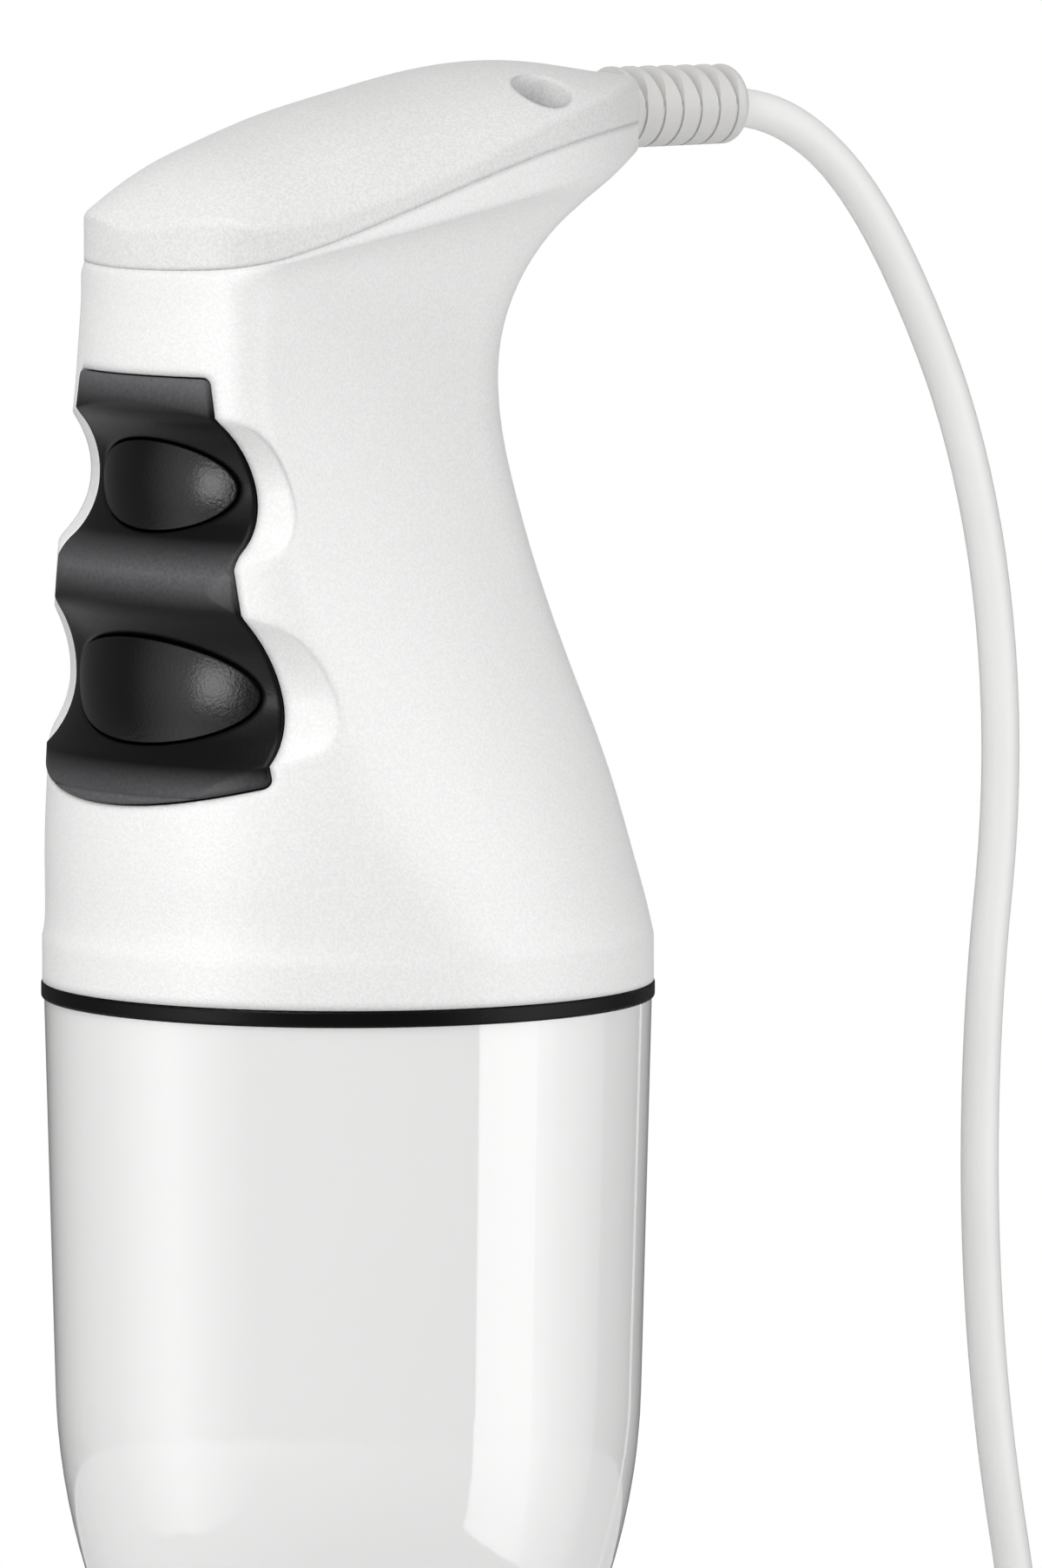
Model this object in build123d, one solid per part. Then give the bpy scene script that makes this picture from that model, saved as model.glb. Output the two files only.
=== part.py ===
"""Upright stick blender: shells, switch panel, motor, drive shaft, blade guard and mains cord.

Millimetres. +Z runs up the drive shaft, the origin is the centre of the blade guard's rim on the
floor, the switch panel faces -Y and the cord leaves towards +Y. Each piece is a named solid.
"""
import math
import os

from build123d import *

# Fits and clearances
RUNNING_GAP = 0.05
SEAT_GAP = 0.10
SHELL_GAP = 0.20
MOVING_GAP = 0.30

# Outer shells
SEAM_Z = 240.0
BODY_R = 32.5
SEAM_HEIGHT = 1.8
SEAM_PROUD = 0.12
SHELL_WALL = 2.4
BAND_HEIGHT = 5.7
LOWER_STEP = 0.2
LOWER_TAPER = 1.1
LOWER_CONE_LENGTH = 42.0
NOSE_LENGTH = 47.0
NOSE_R = 12.5
NOSE_FLOOR = 4.0
SPIGOT_WALL = 1.6

# Grip: each level is (height over the seam, rise towards the back, front radius lost to the taper,
# crease azimuth in degrees, reach of the back, radius of the back, where the flank meets the back)
GRIP_LEVELS = (
    (14.0, 0.0, 0.3, 64.0, 31.0, 28.0, 45.0),
    (23.0, 0.0, 0.6, 53.6, 28.7, 24.0, 55.0),
    (33.0, 0.0, 1.1, 46.5, 25.2, 19.5, 62.0),
    (44.0, 0.0, 1.6, 41.0, 21.4, 15.5, 68.0),
    (54.0, 0.0, 2.4, 36.5, 18.8, 12.2, 74.0),
    (64.0, 0.0, 3.3, 32.3, 17.6, 10.0, 78.0),
    (69.5, 0.04, 3.6, 31.8, 18.4, 10.0, 80.0),
    (74.0, 0.10, 3.8, 31.5, 21.2, 10.4, 82.0),
    (77.5, 0.14, 3.9, 31.2, 25.4, 11.4, 84.0),
    (80.0, 0.165, 3.9, 31.0, 30.2, 13.2, 86.0),
)
BAND_CREASE = 83.0
BAND_FLANK = 40.0
CREASE_SOFT = 2.6
TAIL_HALF = 5.2

# Cap outline and crown
RIM_Z = 82.0
RIM_RISE = 0.185
CAP_FRONT_LOSS = 3.9
CAP_CREASE = 31.0
CAP_SOFT = 5.0
CAP_HALF = 16.2
CAP_HALF_Y = 14.8
CAP_FLANK_LEAN = 8.0
TAIL_Y = 35.6
TAIL_R = 130.0
TAIL_CORNER = 36.0
# Parting line: share of the cap's length from its front, height over the seam
PARTING_LINE = ((0.0, 77.3), (0.12, 78.6), (0.32, 82.4), (0.54, 86.8), (0.77, 90.2), (1.0, 91.2))
# Crown: share of the cap's length, height over the seam, fall towards the cap's full half width
CROWN_LINE = (
    (-0.07, 75.5, 1.0),
    (0.0, 81.4, 2.1),
    (0.04, 85.0, 5.7),
    (0.10, 88.0, 7.5),
    (0.20, 90.7, 7.9),
    (0.32, 93.1, 7.3),
    (0.48, 95.4, 6.5),
    (0.63, 97.2, 5.6),
    (0.79, 97.8, 5.1),
    (0.91, 96.8, 4.6),
    (1.0, 96.2, 4.0),
    (1.1, 95.5, 3.5),
)
CROWN_HALF = 19.0
CROWN_SHOULDER = 0.38
CROWN_LOW_Z = 60.0
CAP_EDGE = 1.2
CAP_SKIN = 2.2
CAP_SCREW_X = 11.75
CAP_SCREW_Y = 16.9
RECESS_R = 3.15
RECESS_FLOOR = 2.0

# Finger grooves and switch panel: depths count inwards from the body's radius, each ridge is
# (depth, height over the seam), and the grooves bend round a line that far behind the shaft
GROOVE_Z = (54.6, 33.2)
GROOVE_DEPTH = (7.6, 6.05)
GROOVE_BEND = 15.0
RIDGE_TOP = (3.0, 65.4)
RIDGE_MIDDLE = (2.5, 44.1)
RIDGE_LOWER = (1.5, 22.6)
RIDGE_R = 5.5
GROOVE_SWING = 55.0
PANEL_TOP_Z = 66.2
PANEL_TOP_HALF = 10.9
PANEL_LOW_Z = 24.3
PANEL_LOW_HALF = 19.4
PANEL_LOW_SAG = 2.8
PANEL_CORNER_R = 1.0
PANEL_BACK_DEPTH = 12.3
PANEL_PROUD = 0.25
PANEL_LEDGE = 3.0
LEDGE_THICK = 2.4

# Buttons: (half width, half height, dome radius, how far the dome stands out of the groove)
UPPER_BUTTON = (11.5, 4.7, 21.0, 2.2)
LOWER_BUTTON = (15.5, 5.5, 26.0, 2.6)
BUTTON_TRAVEL = 1.5
BUTTON_FLANGE = 0.7
BUTTON_FLANGE_THICK = 1.0

BUTTON_STEM_R = 1.6
PLUNGER_R = 0.8
PLUNGER_LENGTH = 3.2
SPRING_R = 2.7
SPRING_WIRE = 0.35
SPRING_TURNS = 3

# Switch carrier, board and what is on them
CARRIER_SPACE = 4.8
CARRIER_THICK = 2.0
CARRIER_HALF = 10.6
CARRIER_LOW_Z = 19.0
CARRIER_TOP_Z = 64.5
CARRIER_PAD = 0.9
RAIL_THICK = 1.6
SWITCH_HALF = 6.6
SWITCH_HEIGHT = 6.4
SWITCH_DEPTH = 6.4
BOARD_THICK = 1.6
BOARD_LOW_Z = 24.0
BOARD_TOP_Z = 60.0
CAPACITOR = (11.0, 6.0, 11.0)
TERMINAL = (10.0, 7.0, 8.0)
TERMINAL_Z = 29.0
CAPACITOR_Z = 50.0

# Strain relief, supply lead and clamp
CORD_R = 2.1
RELIEF_Z = 92.4
RELIEF_END_Y = 52.1
RELIEF_ROOT_R = 4.4
RELIEF_TIP_R = 4.3
RELIEF_NECK_R = 2.9
RELIEF_FLANGE_R = 3.7
RELIEF_FLANGE_THICK = 2.0
RELIEF_WALL = 2.6
RELIEF_NOTCHES = 6
RELIEF_PITCH = 2.55
RELIEF_NOTCH = 2.0
RELIEF_NOTCH_FLOOR = 2.8
RELIEF_LINE = 0.2
RELIEF_SOFT = 1.0
CHAMBER_HALF = 7.5
CHAMBER_FRONT_Y = -14.0
CHAMBER_BACK_Y = 13.0
CHAMBER_Z = 66.0
LEAD_DROP_Y = 9.0
LEAD_END_Z = 66.0
CLAMP_Z = 77.0
CLAMP_HEIGHT = 6.0
CLAMP_THICK = 2.2
CLAMP_SCREW_X = 5.2
CLAMP_SCREW_R = 1.1
CLAMP_SCREW_BITE = 3.5
WIRE_R = 0.8

# Motor
SHAFT_R = 2.5
SHAFT_PROUD = 1.5
STATOR_R = 22.5
STATOR_LOW_Z = 188.0
STATOR_STACK = 22.0
AIR_GAP = 0.4
ARMATURE_R = 11.6
ARMATURE_SLOTS = 12
SLOT_WIDTH = 1.6
SLOT_DEPTH = 3.4
WINDING_R = 10.6
WINDING_HEAD = 6.5
COIL_INNER_R = 12.8
COIL_OUTER_R = 17.2
COIL_SIDE_Y = 10.0
COIL_HEAD = 4.6
COMMUTATOR_R = 6.0
COMMUTATOR_LENGTH = 9.5
COMMUTATOR_SPACE = 1.2
COMMUTATOR_BARS = 12
BAR_GAP = 0.4
BAR_GAP_DEPTH = 0.6
MOTOR_SCREW_Y = 20.2
MOTOR_SCREW_R = 1.5
BEARING_R = 5.0
BEARING_LENGTH = 5.0
BRACKET_THICK = 2.6
LOWER_BRACKET_Z = 176.0
UPPER_BRACKET_Z = 229.8
BRACKET_BOSS_WALL = 2.4
SHELF_WIDTH = 3.0
SHELF_THICK = 2.5
BRUSH_WIDTH = 4.6
BRUSH_HEIGHT = 3.6
BRUSH_LENGTH = 9.0
BRUSH_HOLDER_LENGTH = 13.0
HOLDER_SPACE = 2.0
BRUSH_HOLDER_WALL = 0.8

# Drive shaft, tube and blade guard
DRIVE_R = 3.0
TUBE_R = 9.0
TUBE_WALL = 1.4
TUBE_FLANGE_R = 11.6
TUBE_FLANGE = 2.4
TUBE_LOW_Z = 36.0
COUPLING_R = 5.6
COUPLING_LENGTH = 18.0
COUPLING_DROP = 2.0
BUSH_LENGTH = 9.0
BUSH_SPACE = 4.0
SEAL_LENGTH = 3.0
GUARD_R = 26.0
GUARD_WALL = 2.2
GUARD_RIM = 5.0
GUARD_SHOULDER_Z = 25.0
GUARD_NECK_R = 11.4
GUARD_TOP_Z = 50.0
GUARD_BOSS_R = 6.2
WINDOW_COUNT = 4
WINDOW_HALF = 8.5
WINDOW_TOP_Z = 15.0
HUB_R = 5.0
HUB_LOW_Z = 6.0
HUB_HEIGHT = 13.0
HUB_FLOOR = 3.0
PIN_R = 1.0
PIN_Z = 15.5
BLADE_R = 19.5
BLADE_WIDTH = 9.0
BLADE_THICK = 1.4
BLADE_TWIST = 14.0
BLADE_PULL = 25.0
CLIP_THICK = 0.8
CLIP_R = 5.2
NOSE_RING = 4.0

# Cap screws
CAP_SCREW_R = 1.5
CAP_SCREW_BITE = 5.0
CAP_SCREW_HEAD_R = 2.7
CAP_SCREW_HEAD = 1.8

# Cord: route of the hanging stretch as (X, Y, Z), then a coil on the floor
CORD_ROUTE = (
    (0.0, 46.5, 332.4), (0.0, 54.2, 332.4), (0.0, 62.8, 329.5), (0.0, 70.6, 322.9), (0.0, 78.0, 312.0),
    (0.0, 85.6, 296.5), (0.0, 90.4, 277.5), (0.0, 91.7, 255.5), (0.0, 88.7, 232.5), (0.0, 88.2, 208.0),
    (0.0, 90.3, 185.0), (0.2, 94.8, 162.0), (1.4, 96.8, 138.5), (4.2, 97.0, 114.0), (8.2, 96.6, 90.0),
    (12.6, 97.0, 67.0), (16.2, 100.2, 45.0), (18.0, 107.0, 26.5), (18.0, 118.0, 12.0), (18.0, 132.0, 3.2),
    (18.0, 147.0, 3.2),
)
CORD_BEND_SHARE = 0.45
CORD_FLARE = 0.6
CORD_FLARE_LENGTH = 5.0
COIL_PITCH = 4.8
COIL_LAYER = 4.8
COIL_OUT_R = 31.4
COIL_TURNS = 3
TIE_WIDTH = 8.0
TIE_THICK = 0.8
TIE_GAP = 0.3
PLUG_TAIL = 18.0
PLUG_BOOT = 20.0
PLUG_BOOT_R = 3.3
PLUG_LENGTH = 32.0
PLUG_WIDTH = 35.0
PLUG_CORNER_R = 5.0
PLUG_PIN_R = 2.0
PLUG_PIN_LENGTH = 19.0
PLUG_PIN_SPACING = 18.6
PLUG_PIN_ROOT_R = 1.6
PLUG_PIN_ROOT = 6.0
PLUG_PIN_TIP_R = 0.8

# Reach of cutting blocks
REACH = 80.0

# Sizes that follow from those above
LOWER_TOP_R = BODY_R - LOWER_STEP
LOWER_CONE_R = LOWER_TOP_R - LOWER_TAPER
GROOVE_Y = tuple(depth - BODY_R for depth in GROOVE_DEPTH)
PANEL_BACK_Y = PANEL_BACK_DEPTH - BODY_R
CARRIER_Y = PANEL_BACK_Y + CARRIER_SPACE
SEAM_TOP = SEAM_Z + SEAM_HEIGHT / 2
SEAM_LOW = SEAM_Z - SEAM_HEIGHT / 2
NOSE_Z = SEAM_LOW - LOWER_CONE_LENGTH - NOSE_LENGTH
SPIGOT_R = LOWER_TOP_R - SHELL_WALL - 2 * SHELL_GAP
LEDGE_Y = PANEL_BACK_Y + LEDGE_THICK
ALL_UP = SEAM_Z + REACH * 2
RELIEF_AXIS_Z = SEAM_Z + RELIEF_Z
FLANGE_Y = TAIL_Y - RELIEF_WALL - RELIEF_FLANGE_THICK
FLANGE_BACK_Y = PANEL_BACK_Y + SHELL_GAP + BUTTON_FLANGE_THICK
CARRIER_BACK_Y = CARRIER_Y + CARRIER_THICK
STEM_END_Y = CARRIER_BACK_Y + MOVING_GAP
SWITCH_Y = STEM_END_Y + BUTTON_TRAVEL + MOVING_GAP
BOARD_Y = SWITCH_Y + SWITCH_DEPTH + SEAT_GAP
LOWER_BEARING_Z = LOWER_BRACKET_Z - BEARING_LENGTH + BRACKET_THICK
STATOR_TOP_Z = STATOR_LOW_Z + STATOR_STACK
MOTOR_SHAFT_TOP_Z = UPPER_BRACKET_Z + BEARING_LENGTH + SHAFT_PROUD
COUPLING_Z = NOSE_Z - COUPLING_DROP
COUPLING_MIDDLE_Z = COUPLING_Z + COUPLING_LENGTH / 2
COMMUTATOR_Z = UPPER_BRACKET_Z - COMMUTATOR_LENGTH - COMMUTATOR_SPACE
BRUSH_Z = COMMUTATOR_Z + COMMUTATOR_LENGTH / 2
BRUSH_X = COMMUTATOR_R + RUNNING_GAP
HOLDER_X = COMMUTATOR_R + HOLDER_SPACE
SHAFT_LOW_Z = HUB_LOW_Z + HUB_FLOOR
TUBE_FLANGE_Z = NOSE_Z + NOSE_FLOOR
TUBE_TOP_Z = TUBE_FLANGE_Z + TUBE_FLANGE
TUBE_BORE_R = TUBE_R - TUBE_WALL
LOWER_BUSH_Z = TUBE_LOW_Z - BUSH_LENGTH
UPPER_BUSH_Z = COUPLING_Z - BUSH_LENGTH - BUSH_SPACE
SEAL_Z = LOWER_BUSH_Z - SEAL_LENGTH
COIL_X = CORD_ROUTE[-1][0] - COIL_OUT_R
COIL_Y = CORD_ROUTE[-1][1] + 2 * CORD_R
COIL_Z = CORD_ROUTE[-1][2]
COIL_IN_R = COIL_OUT_R - COIL_TURNS * COIL_PITCH
PLUG_X = COIL_X - COIL_OUT_R
PLUG_Z = COIL_Z + COIL_LAYER
PLUG_BOOT_Y = COIL_Y - PLUG_TAIL
PLUG_BACK_Y = PLUG_BOOT_Y - PLUG_BOOT
PLUG_FACE_Y = PLUG_BACK_Y - PLUG_LENGTH


def moved(shape, x=0.0, y=0.0, z=0.0):
    return Pos(x, y, z) * shape


def rod(radius, z0, z1, x=0.0, y=0.0):
    """Upright cylinder from z0 to z1."""
    return moved(Cylinder(radius, z1 - z0), x, y, (z0 + z1) / 2)


def tube(outer, inner, z0, z1, x=0.0, y=0.0):
    """Upright ring from z0 to z1."""
    return rod(outer, z0, z1, x, y) - rod(inner, z0 - 1, z1 + 1, x, y)


def bar(x0, x1, y0, y1, z0, z1):
    """Block between two corners."""
    return moved(Box(x1 - x0, y1 - y0, z1 - z0), (x0 + x1) / 2, (y0 + y1) / 2, (z0 + z1) / 2)


def rod_x(radius, x0, x1, y, z):
    return moved(Rot(0, 90, 0) * Cylinder(radius, x1 - x0), (x0 + x1) / 2, y, z)


def rod_y(radius, y0, y1, x, z):
    return moved(Rot(90, 0, 0) * Cylinder(radius, y1 - y0), x, (y0 + y1) / 2, z)


def heading(degrees):
    """Direction in plan, turned from the back towards the middle of the grip."""
    a = math.radians(degrees)
    return Vector(-math.sin(a), math.cos(a))


def lean_of(run):
    return math.degrees(math.atan2(-run.X, run.Y))


def meet(p, d, q, e):
    """Crossing, in plan, of the line through p along d with the line through q along e."""
    s = ((q.X - p.X) * e.Y - (q.Y - p.Y) * e.X) / (d.X * e.Y - d.Y * e.X)
    return p + d * s


def grip_outline(height, rise, front_r, crease, soft, flank_end, flank_lean, tail_y, tail_r, corner):
    """Closed outline of the grip on a plane that rises towards the back.

    Front arc about the shaft, soft crease, bowed flank, back corner and tail, mirrored about X = 0.
    """
    tail_half = min(TAIL_HALF, 0.6 * tail_r)
    a = math.radians(crease)
    ridge = Vector(front_r * math.sin(a), -front_r * math.cos(a))
    a -= soft / front_r
    p1 = Vector(front_r * math.sin(a), -front_r * math.cos(a))
    run = flank_end - ridge
    bow = flank_lean - lean_of(run)
    turn = math.degrees(2 * soft * math.sin(math.radians(bow)) / run.length)
    p2 = ridge + heading(lean_of(run) - bow + turn / 2) * soft
    start = heading(lean_of(run) - bow + turn)
    rest = flank_end - p2
    sag = rest.length / 2 * math.tan(math.radians((flank_lean - lean_of(rest)) / 2))
    middle = (p2 + flank_end) * 0.5 + heading(lean_of(rest) - 90) * sag
    soft_corner = meet(p1, Vector(math.cos(a), math.sin(a)), p2, start)
    tail_turn = math.asin(tail_half / tail_r)
    p4 = Vector(tail_half, tail_y - tail_r * (1 - math.cos(tail_turn)))
    back_way = tail_turn + math.radians(corner)
    back_corner = meet(
        flank_end, heading(flank_lean), p4, Vector(math.cos(back_way), -math.sin(back_way))
    )

    def lift(p, side=1):
        return Vector(side * p.X, p.Y, SEAM_Z + height + rise * p.Y)

    def flank(side):
        return [
            Bezier(lift(p1, side), lift(soft_corner, side), lift(p2, side)),
            ThreePointArc(lift(p2, side), lift(middle, side), lift(flank_end, side)),
            Bezier(lift(flank_end, side), lift(back_corner, side), lift(p4, side)),
        ]

    front = ThreePointArc(lift(p1, -1), lift(Vector(0, -front_r)), lift(p1))
    tail = ThreePointArc(lift(p4), lift(Vector(0, tail_y)), lift(p4, -1))
    return Wire([front] + flank(1) + [tail] + flank(-1)[::-1])


def grip_levels(inset):
    """Outlines of the neck from the band up, each drawn in by inset."""
    r = BODY_R - inset
    a = math.radians(BAND_FLANK)
    end = Vector(r * math.sin(a), r * math.cos(a))
    crease = BAND_CREASE - math.degrees(inset / r)
    outlines = [
        grip_outline(BAND_HEIGHT, 0, r, crease, CREASE_SOFT, end, 90 - BAND_FLANK, r, r, 0)
    ]
    for height, rise, loss, crease, back, back_r, meeting in GRIP_LEVELS:
        a = math.radians(meeting)
        r = back_r - inset
        end = Vector(r * math.sin(a), back - back_r + r * math.cos(a))
        front = BODY_R - loss - inset
        turned = crease - math.degrees(inset / front)
        outlines.append(
            grip_outline(height, rise, front, turned, CREASE_SOFT, end, 90 - meeting, back - inset, r, 0)
        )
    return outlines


def cap_outline(inset=0.0):
    """Plan of the cap and of the rim under it, on the rim's plane."""
    end = Vector(CAP_HALF - inset, CAP_HALF_Y)
    front = BODY_R - CAP_FRONT_LOSS - inset
    crease = CAP_CREASE - math.degrees(inset / front)
    return grip_outline(
        RIM_Z, RIM_RISE, front, crease, CAP_SOFT, end, CAP_FLANK_LEAN, TAIL_Y - inset, TAIL_R, TAIL_CORNER
    )


def cap_y(share):
    front_y = CAP_FRONT_LOSS - BODY_R
    return front_y + share * (TAIL_Y - front_y)


def parting_line():
    """Line between grip and cap, seen from the side."""
    return Spline(*[Vector(0, cap_y(share), SEAM_Z + z) for share, z in PARTING_LINE])


def above_parting():
    """Everything over the bowed parting surface between grip and cap."""
    line = parting_line()
    front, back = line @ 0, line @ 1
    ahead = front - (line % 0) * (REACH / 4)
    behind = back + (line % 1) * (REACH / 4)
    top = Vector(0, 0, REACH)
    outline = [Line(ahead, front), line, Line(back, behind), Line(behind, behind + top)]
    outline += [Line(behind + top, ahead + top), Line(ahead + top, ahead)]
    return extrude(Face(Wire(outline)), amount=REACH / 2, dir=(1, 0, 0), both=True)


def crown_form():
    """Block whose upper side is the crown of the cap, flat on top and steeper at the shoulders."""
    wide = CROWN_HALF / CAP_HALF
    bowed = (1 - CROWN_SHOULDER) * wide**2
    square = CROWN_SHOULDER * wide**4
    falls = (bowed + square, -square, square - bowed / 3, -square, bowed + square)
    sections = []
    for share, height, fall in CROWN_LINE:
        y = cap_y(share)
        top = [Vector(CROWN_HALF * (i / 2 - 1), y, SEAM_Z + height - fall * falls[i]) for i in range(5)]
        low = [Vector(side * CROWN_HALF, y, SEAM_Z + CROWN_LOW_Z) for side in (1, -1)]
        edges = [Bezier(*top), Line(top[-1], low[0]), Line(low[0], low[1]), Line(low[1], top[0])]
        sections.append(Wire(edges))
    return Solid.make_loft(sections)


def groove_cutter():
    """Everything ahead of the wavy finger rest, bent round the front of the grip."""
    peaks = [Vector(0, depth - BODY_R, SEAM_Z + z) for depth, z in (RIDGE_TOP, RIDGE_MIDDLE, RIDGE_LOWER)]
    valleys = [Vector(0, y, SEAM_Z + z) for y, z in zip(GROOVE_Y, GROOVE_Z)]
    down = Vector(0, 0, -1)
    edges = []
    for upper, valley, lower in zip(peaks, valleys, peaks[1:]):
        for peak, into in ((upper, True), (lower, False)):
            run = valley - peak
            turn = 2 * math.atan2(run.Y, abs(run.Z))
            share = RIDGE_R * math.sin(turn) / abs(run.Z)
            swap = peak + run * share
            if into:
                edges += [TangentArc(peak, swap, tangent=down), TangentArc(valley, swap, tangent=-down)]
            else:
                edges += [TangentArc(valley, swap, tangent=down), TangentArc(peak, swap, tangent=-down)]
    ahead = Vector(0, -REACH, 0)
    edges += [
        Line(peaks[0], peaks[0] + ahead),
        Line(peaks[0] + ahead, peaks[-1] + ahead),
        Line(peaks[-1] + ahead, peaks[-1]),
    ]
    bend = Axis((0, GROOVE_BEND, 0), (0, 0, 1))
    return revolve(Face(Wire(edges)).rotate(bend, -GROOVE_SWING), bend, 2 * GROOVE_SWING)


def panel_prism(grow, back_y):
    """Tapered prism of the switch panel, from back_y forwards."""
    top = SEAM_Z + PANEL_TOP_Z + grow
    low = SEAM_Z + PANEL_LOW_Z - grow
    half_top = PANEL_TOP_HALF + grow
    half_low = PANEL_LOW_HALF + grow
    corners = [Vector(-half_top, back_y, top), Vector(half_top, back_y, top)]
    corners += [Vector(half_low, back_y, low), Vector(-half_low, back_y, low)]
    bottom = Vector(0, back_y, low - PANEL_LOW_SAG)
    edges = [
        Line(corners[0], corners[1]),
        Line(corners[1], corners[2]),
        ThreePointArc(corners[2], bottom, corners[3]),
        Line(corners[3], corners[0]),
    ]
    outline = Face(Wire(edges))
    outline = outline.fillet_2d(PANEL_CORNER_R, outline.vertices())
    return extrude(outline, amount=REACH / 2, dir=(0, -1, 0))


def button_prism(button, z, grow, y0, y1):
    """Oval prism along Y."""
    oval = Plane.XZ.offset(-y0) * Ellipse(button[0] + grow, button[1] + grow)
    return extrude(moved(oval, z=SEAM_Z + z), amount=y1 - y0, dir=(0, 1, 0))


def parting_z(y):
    """Height of the parting line between grip and cap."""
    line = parting_line()
    low, high = 0.0, 1.0
    for _ in range(40):
        middle = (low + high) / 2
        if (line @ middle).Y < y:
            low = middle
        else:
            high = middle
    return (line @ low).Z


RECESS_Z = parting_z(CAP_SCREW_Y) + RECESS_FLOOR


def cap_prism(inset=0.0):
    return extrude(Face(cap_outline(inset)), amount=REACH / 2, dir=(0, 0, 1))


def relief_room():
    """Room in the shells for the strain relief's neck and flange and for the lead."""
    neck = rod_y(RELIEF_NECK_R + SEAT_GAP, FLANGE_Y, TAIL_Y + 1, 0, RELIEF_AXIS_Z)
    back = FLANGE_Y + RELIEF_FLANGE_THICK + SEAT_GAP
    flange = rod_y(RELIEF_FLANGE_R + SEAT_GAP, FLANGE_Y - SEAT_GAP, back, 0, RELIEF_AXIS_Z)
    lead = rod_y(CORD_R + MOVING_GAP, LEAD_DROP_Y + 2 * CORD_R, TAIL_Y, 0, RELIEF_AXIS_Z)
    return neck + flange + lead


def screw_spots():
    return [(side * CAP_SCREW_X, CAP_SCREW_Y) for side in (-1, 1)]


def grip_form():
    """Outside of the grip with its finger grooves, before pockets and hollows."""
    outlines = grip_levels(0.0)
    neck = Solid.make_loft(outlines + [cap_outline()])
    band = extrude(Face(outlines[0]), amount=SEAM_Z + BAND_HEIGHT - SEAM_TOP, dir=(0, 0, -1))
    return band + neck + cap_prism() - above_parting() - groove_cutter()


def grip_hollow():
    """Inside of the grip, kept behind the switch panel's ledge."""
    outlines = grip_levels(SHELL_WALL)
    levels = [w for w, level in zip(outlines[1:], GRIP_LEVELS) if level[0] < CHAMBER_Z + 5]
    room = Solid.make_loft(outlines[:1] + levels)
    room += extrude(Face(outlines[0]), amount=SEAM_Z + BAND_HEIGHT - SEAM_LOW, dir=(0, 0, -1))
    panel_low = SEAM_Z + PANEL_LOW_Z - PANEL_LOW_SAG - LEDGE_THICK
    room -= bar(-REACH, REACH, -REACH, LEDGE_Y, panel_low, ALL_UP)
    chamber = bar(-CHAMBER_HALF, CHAMBER_HALF, CHAMBER_FRONT_Y, CHAMBER_BACK_Y, SEAM_Z + CHAMBER_Z, ALL_UP)
    way = CORD_R + 2 * MOVING_GAP
    chamber += bar(-way, way, LEAD_DROP_Y, LEAD_DROP_Y + 5 * CORD_R, SEAM_Z + CLAMP_Z + CLAMP_HEIGHT, ALL_UP)
    return room + chamber


def make_grip_housing(form):
    body = form - grip_hollow() - panel_prism(SHELL_GAP, PANEL_BACK_Y) - relief_room()
    body -= panel_prism(-PANEL_LEDGE, LEDGE_Y + 1)
    for button, z in ((UPPER_BUTTON, GROOVE_Z[0]), (LOWER_BUTTON, GROOVE_Z[1])):
        body -= button_prism(button, z, BUTTON_FLANGE + MOVING_GAP, PANEL_BACK_Y - 1, LEDGE_Y + 1)
    for x, y in screw_spots():
        body -= rod(CAP_SCREW_R + RUNNING_GAP, parting_z(y) - CAP_SCREW_BITE - 1, ALL_UP, x, y)
    for side in (-1, 1):
        x = side * CLAMP_SCREW_X
        hole_end = CHAMBER_BACK_Y + CLAMP_SCREW_BITE
        body -= rod_y(CLAMP_SCREW_R + RUNNING_GAP, LEAD_DROP_Y, hole_end + SEAT_GAP, x, SEAM_Z + CLAMP_Z)
    inner = SPIGOT_R - SPIGOT_WALL
    body += tube(SPIGOT_R, inner, UPPER_BRACKET_Z + BRACKET_THICK + SEAT_GAP, SEAM_TOP)
    body += tube(BODY_R - SHELL_WALL / 2, inner, SEAM_TOP, SEAM_TOP + SPIGOT_WALL)
    return body


def make_top_cap():
    crown = crown_form()
    cap = cap_prism() & above_parting() & crown
    level = [e for e in cap.edges() if abs((e % 0.5).Z) < 0.9]
    cap = fillet([e for e in level if e.center().Z > parting_z(e.center().Y) + 2], CAP_EDGE)
    hollow = cap_prism(CAP_SKIN) & moved(crown, z=-CAP_SKIN)
    for x, y in screw_spots():
        hollow -= rod(RECESS_R + CAP_SKIN, SEAM_Z, ALL_UP, x, y)
    cap = cap - hollow - relief_room()
    for x, y in screw_spots():
        cap -= rod(RECESS_R, RECESS_Z, ALL_UP, x, y)
        cap -= rod(CAP_SCREW_R + SHELL_GAP, SEAM_Z, ALL_UP, x, y)
    return cap


def make_cap_screws():
    screws = []
    for x, y in screw_spots():
        screw = rod(CAP_SCREW_R, parting_z(y) - CAP_SCREW_BITE, RECESS_Z, x, y)
        screw += rod(CAP_SCREW_HEAD_R, RECESS_Z, RECESS_Z + CAP_SCREW_HEAD, x, y)
        slot = CAP_SCREW_HEAD_R * 0.7
        top = RECESS_Z + CAP_SCREW_HEAD
        for half_x, half_y in ((slot, slot / 4), (slot / 4, slot)):
            screw -= bar(x - half_x, x + half_x, y - half_y, y + half_y, top - CAP_SCREW_HEAD / 2, top + 1)
        screws.append(screw)
    return screws


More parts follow.
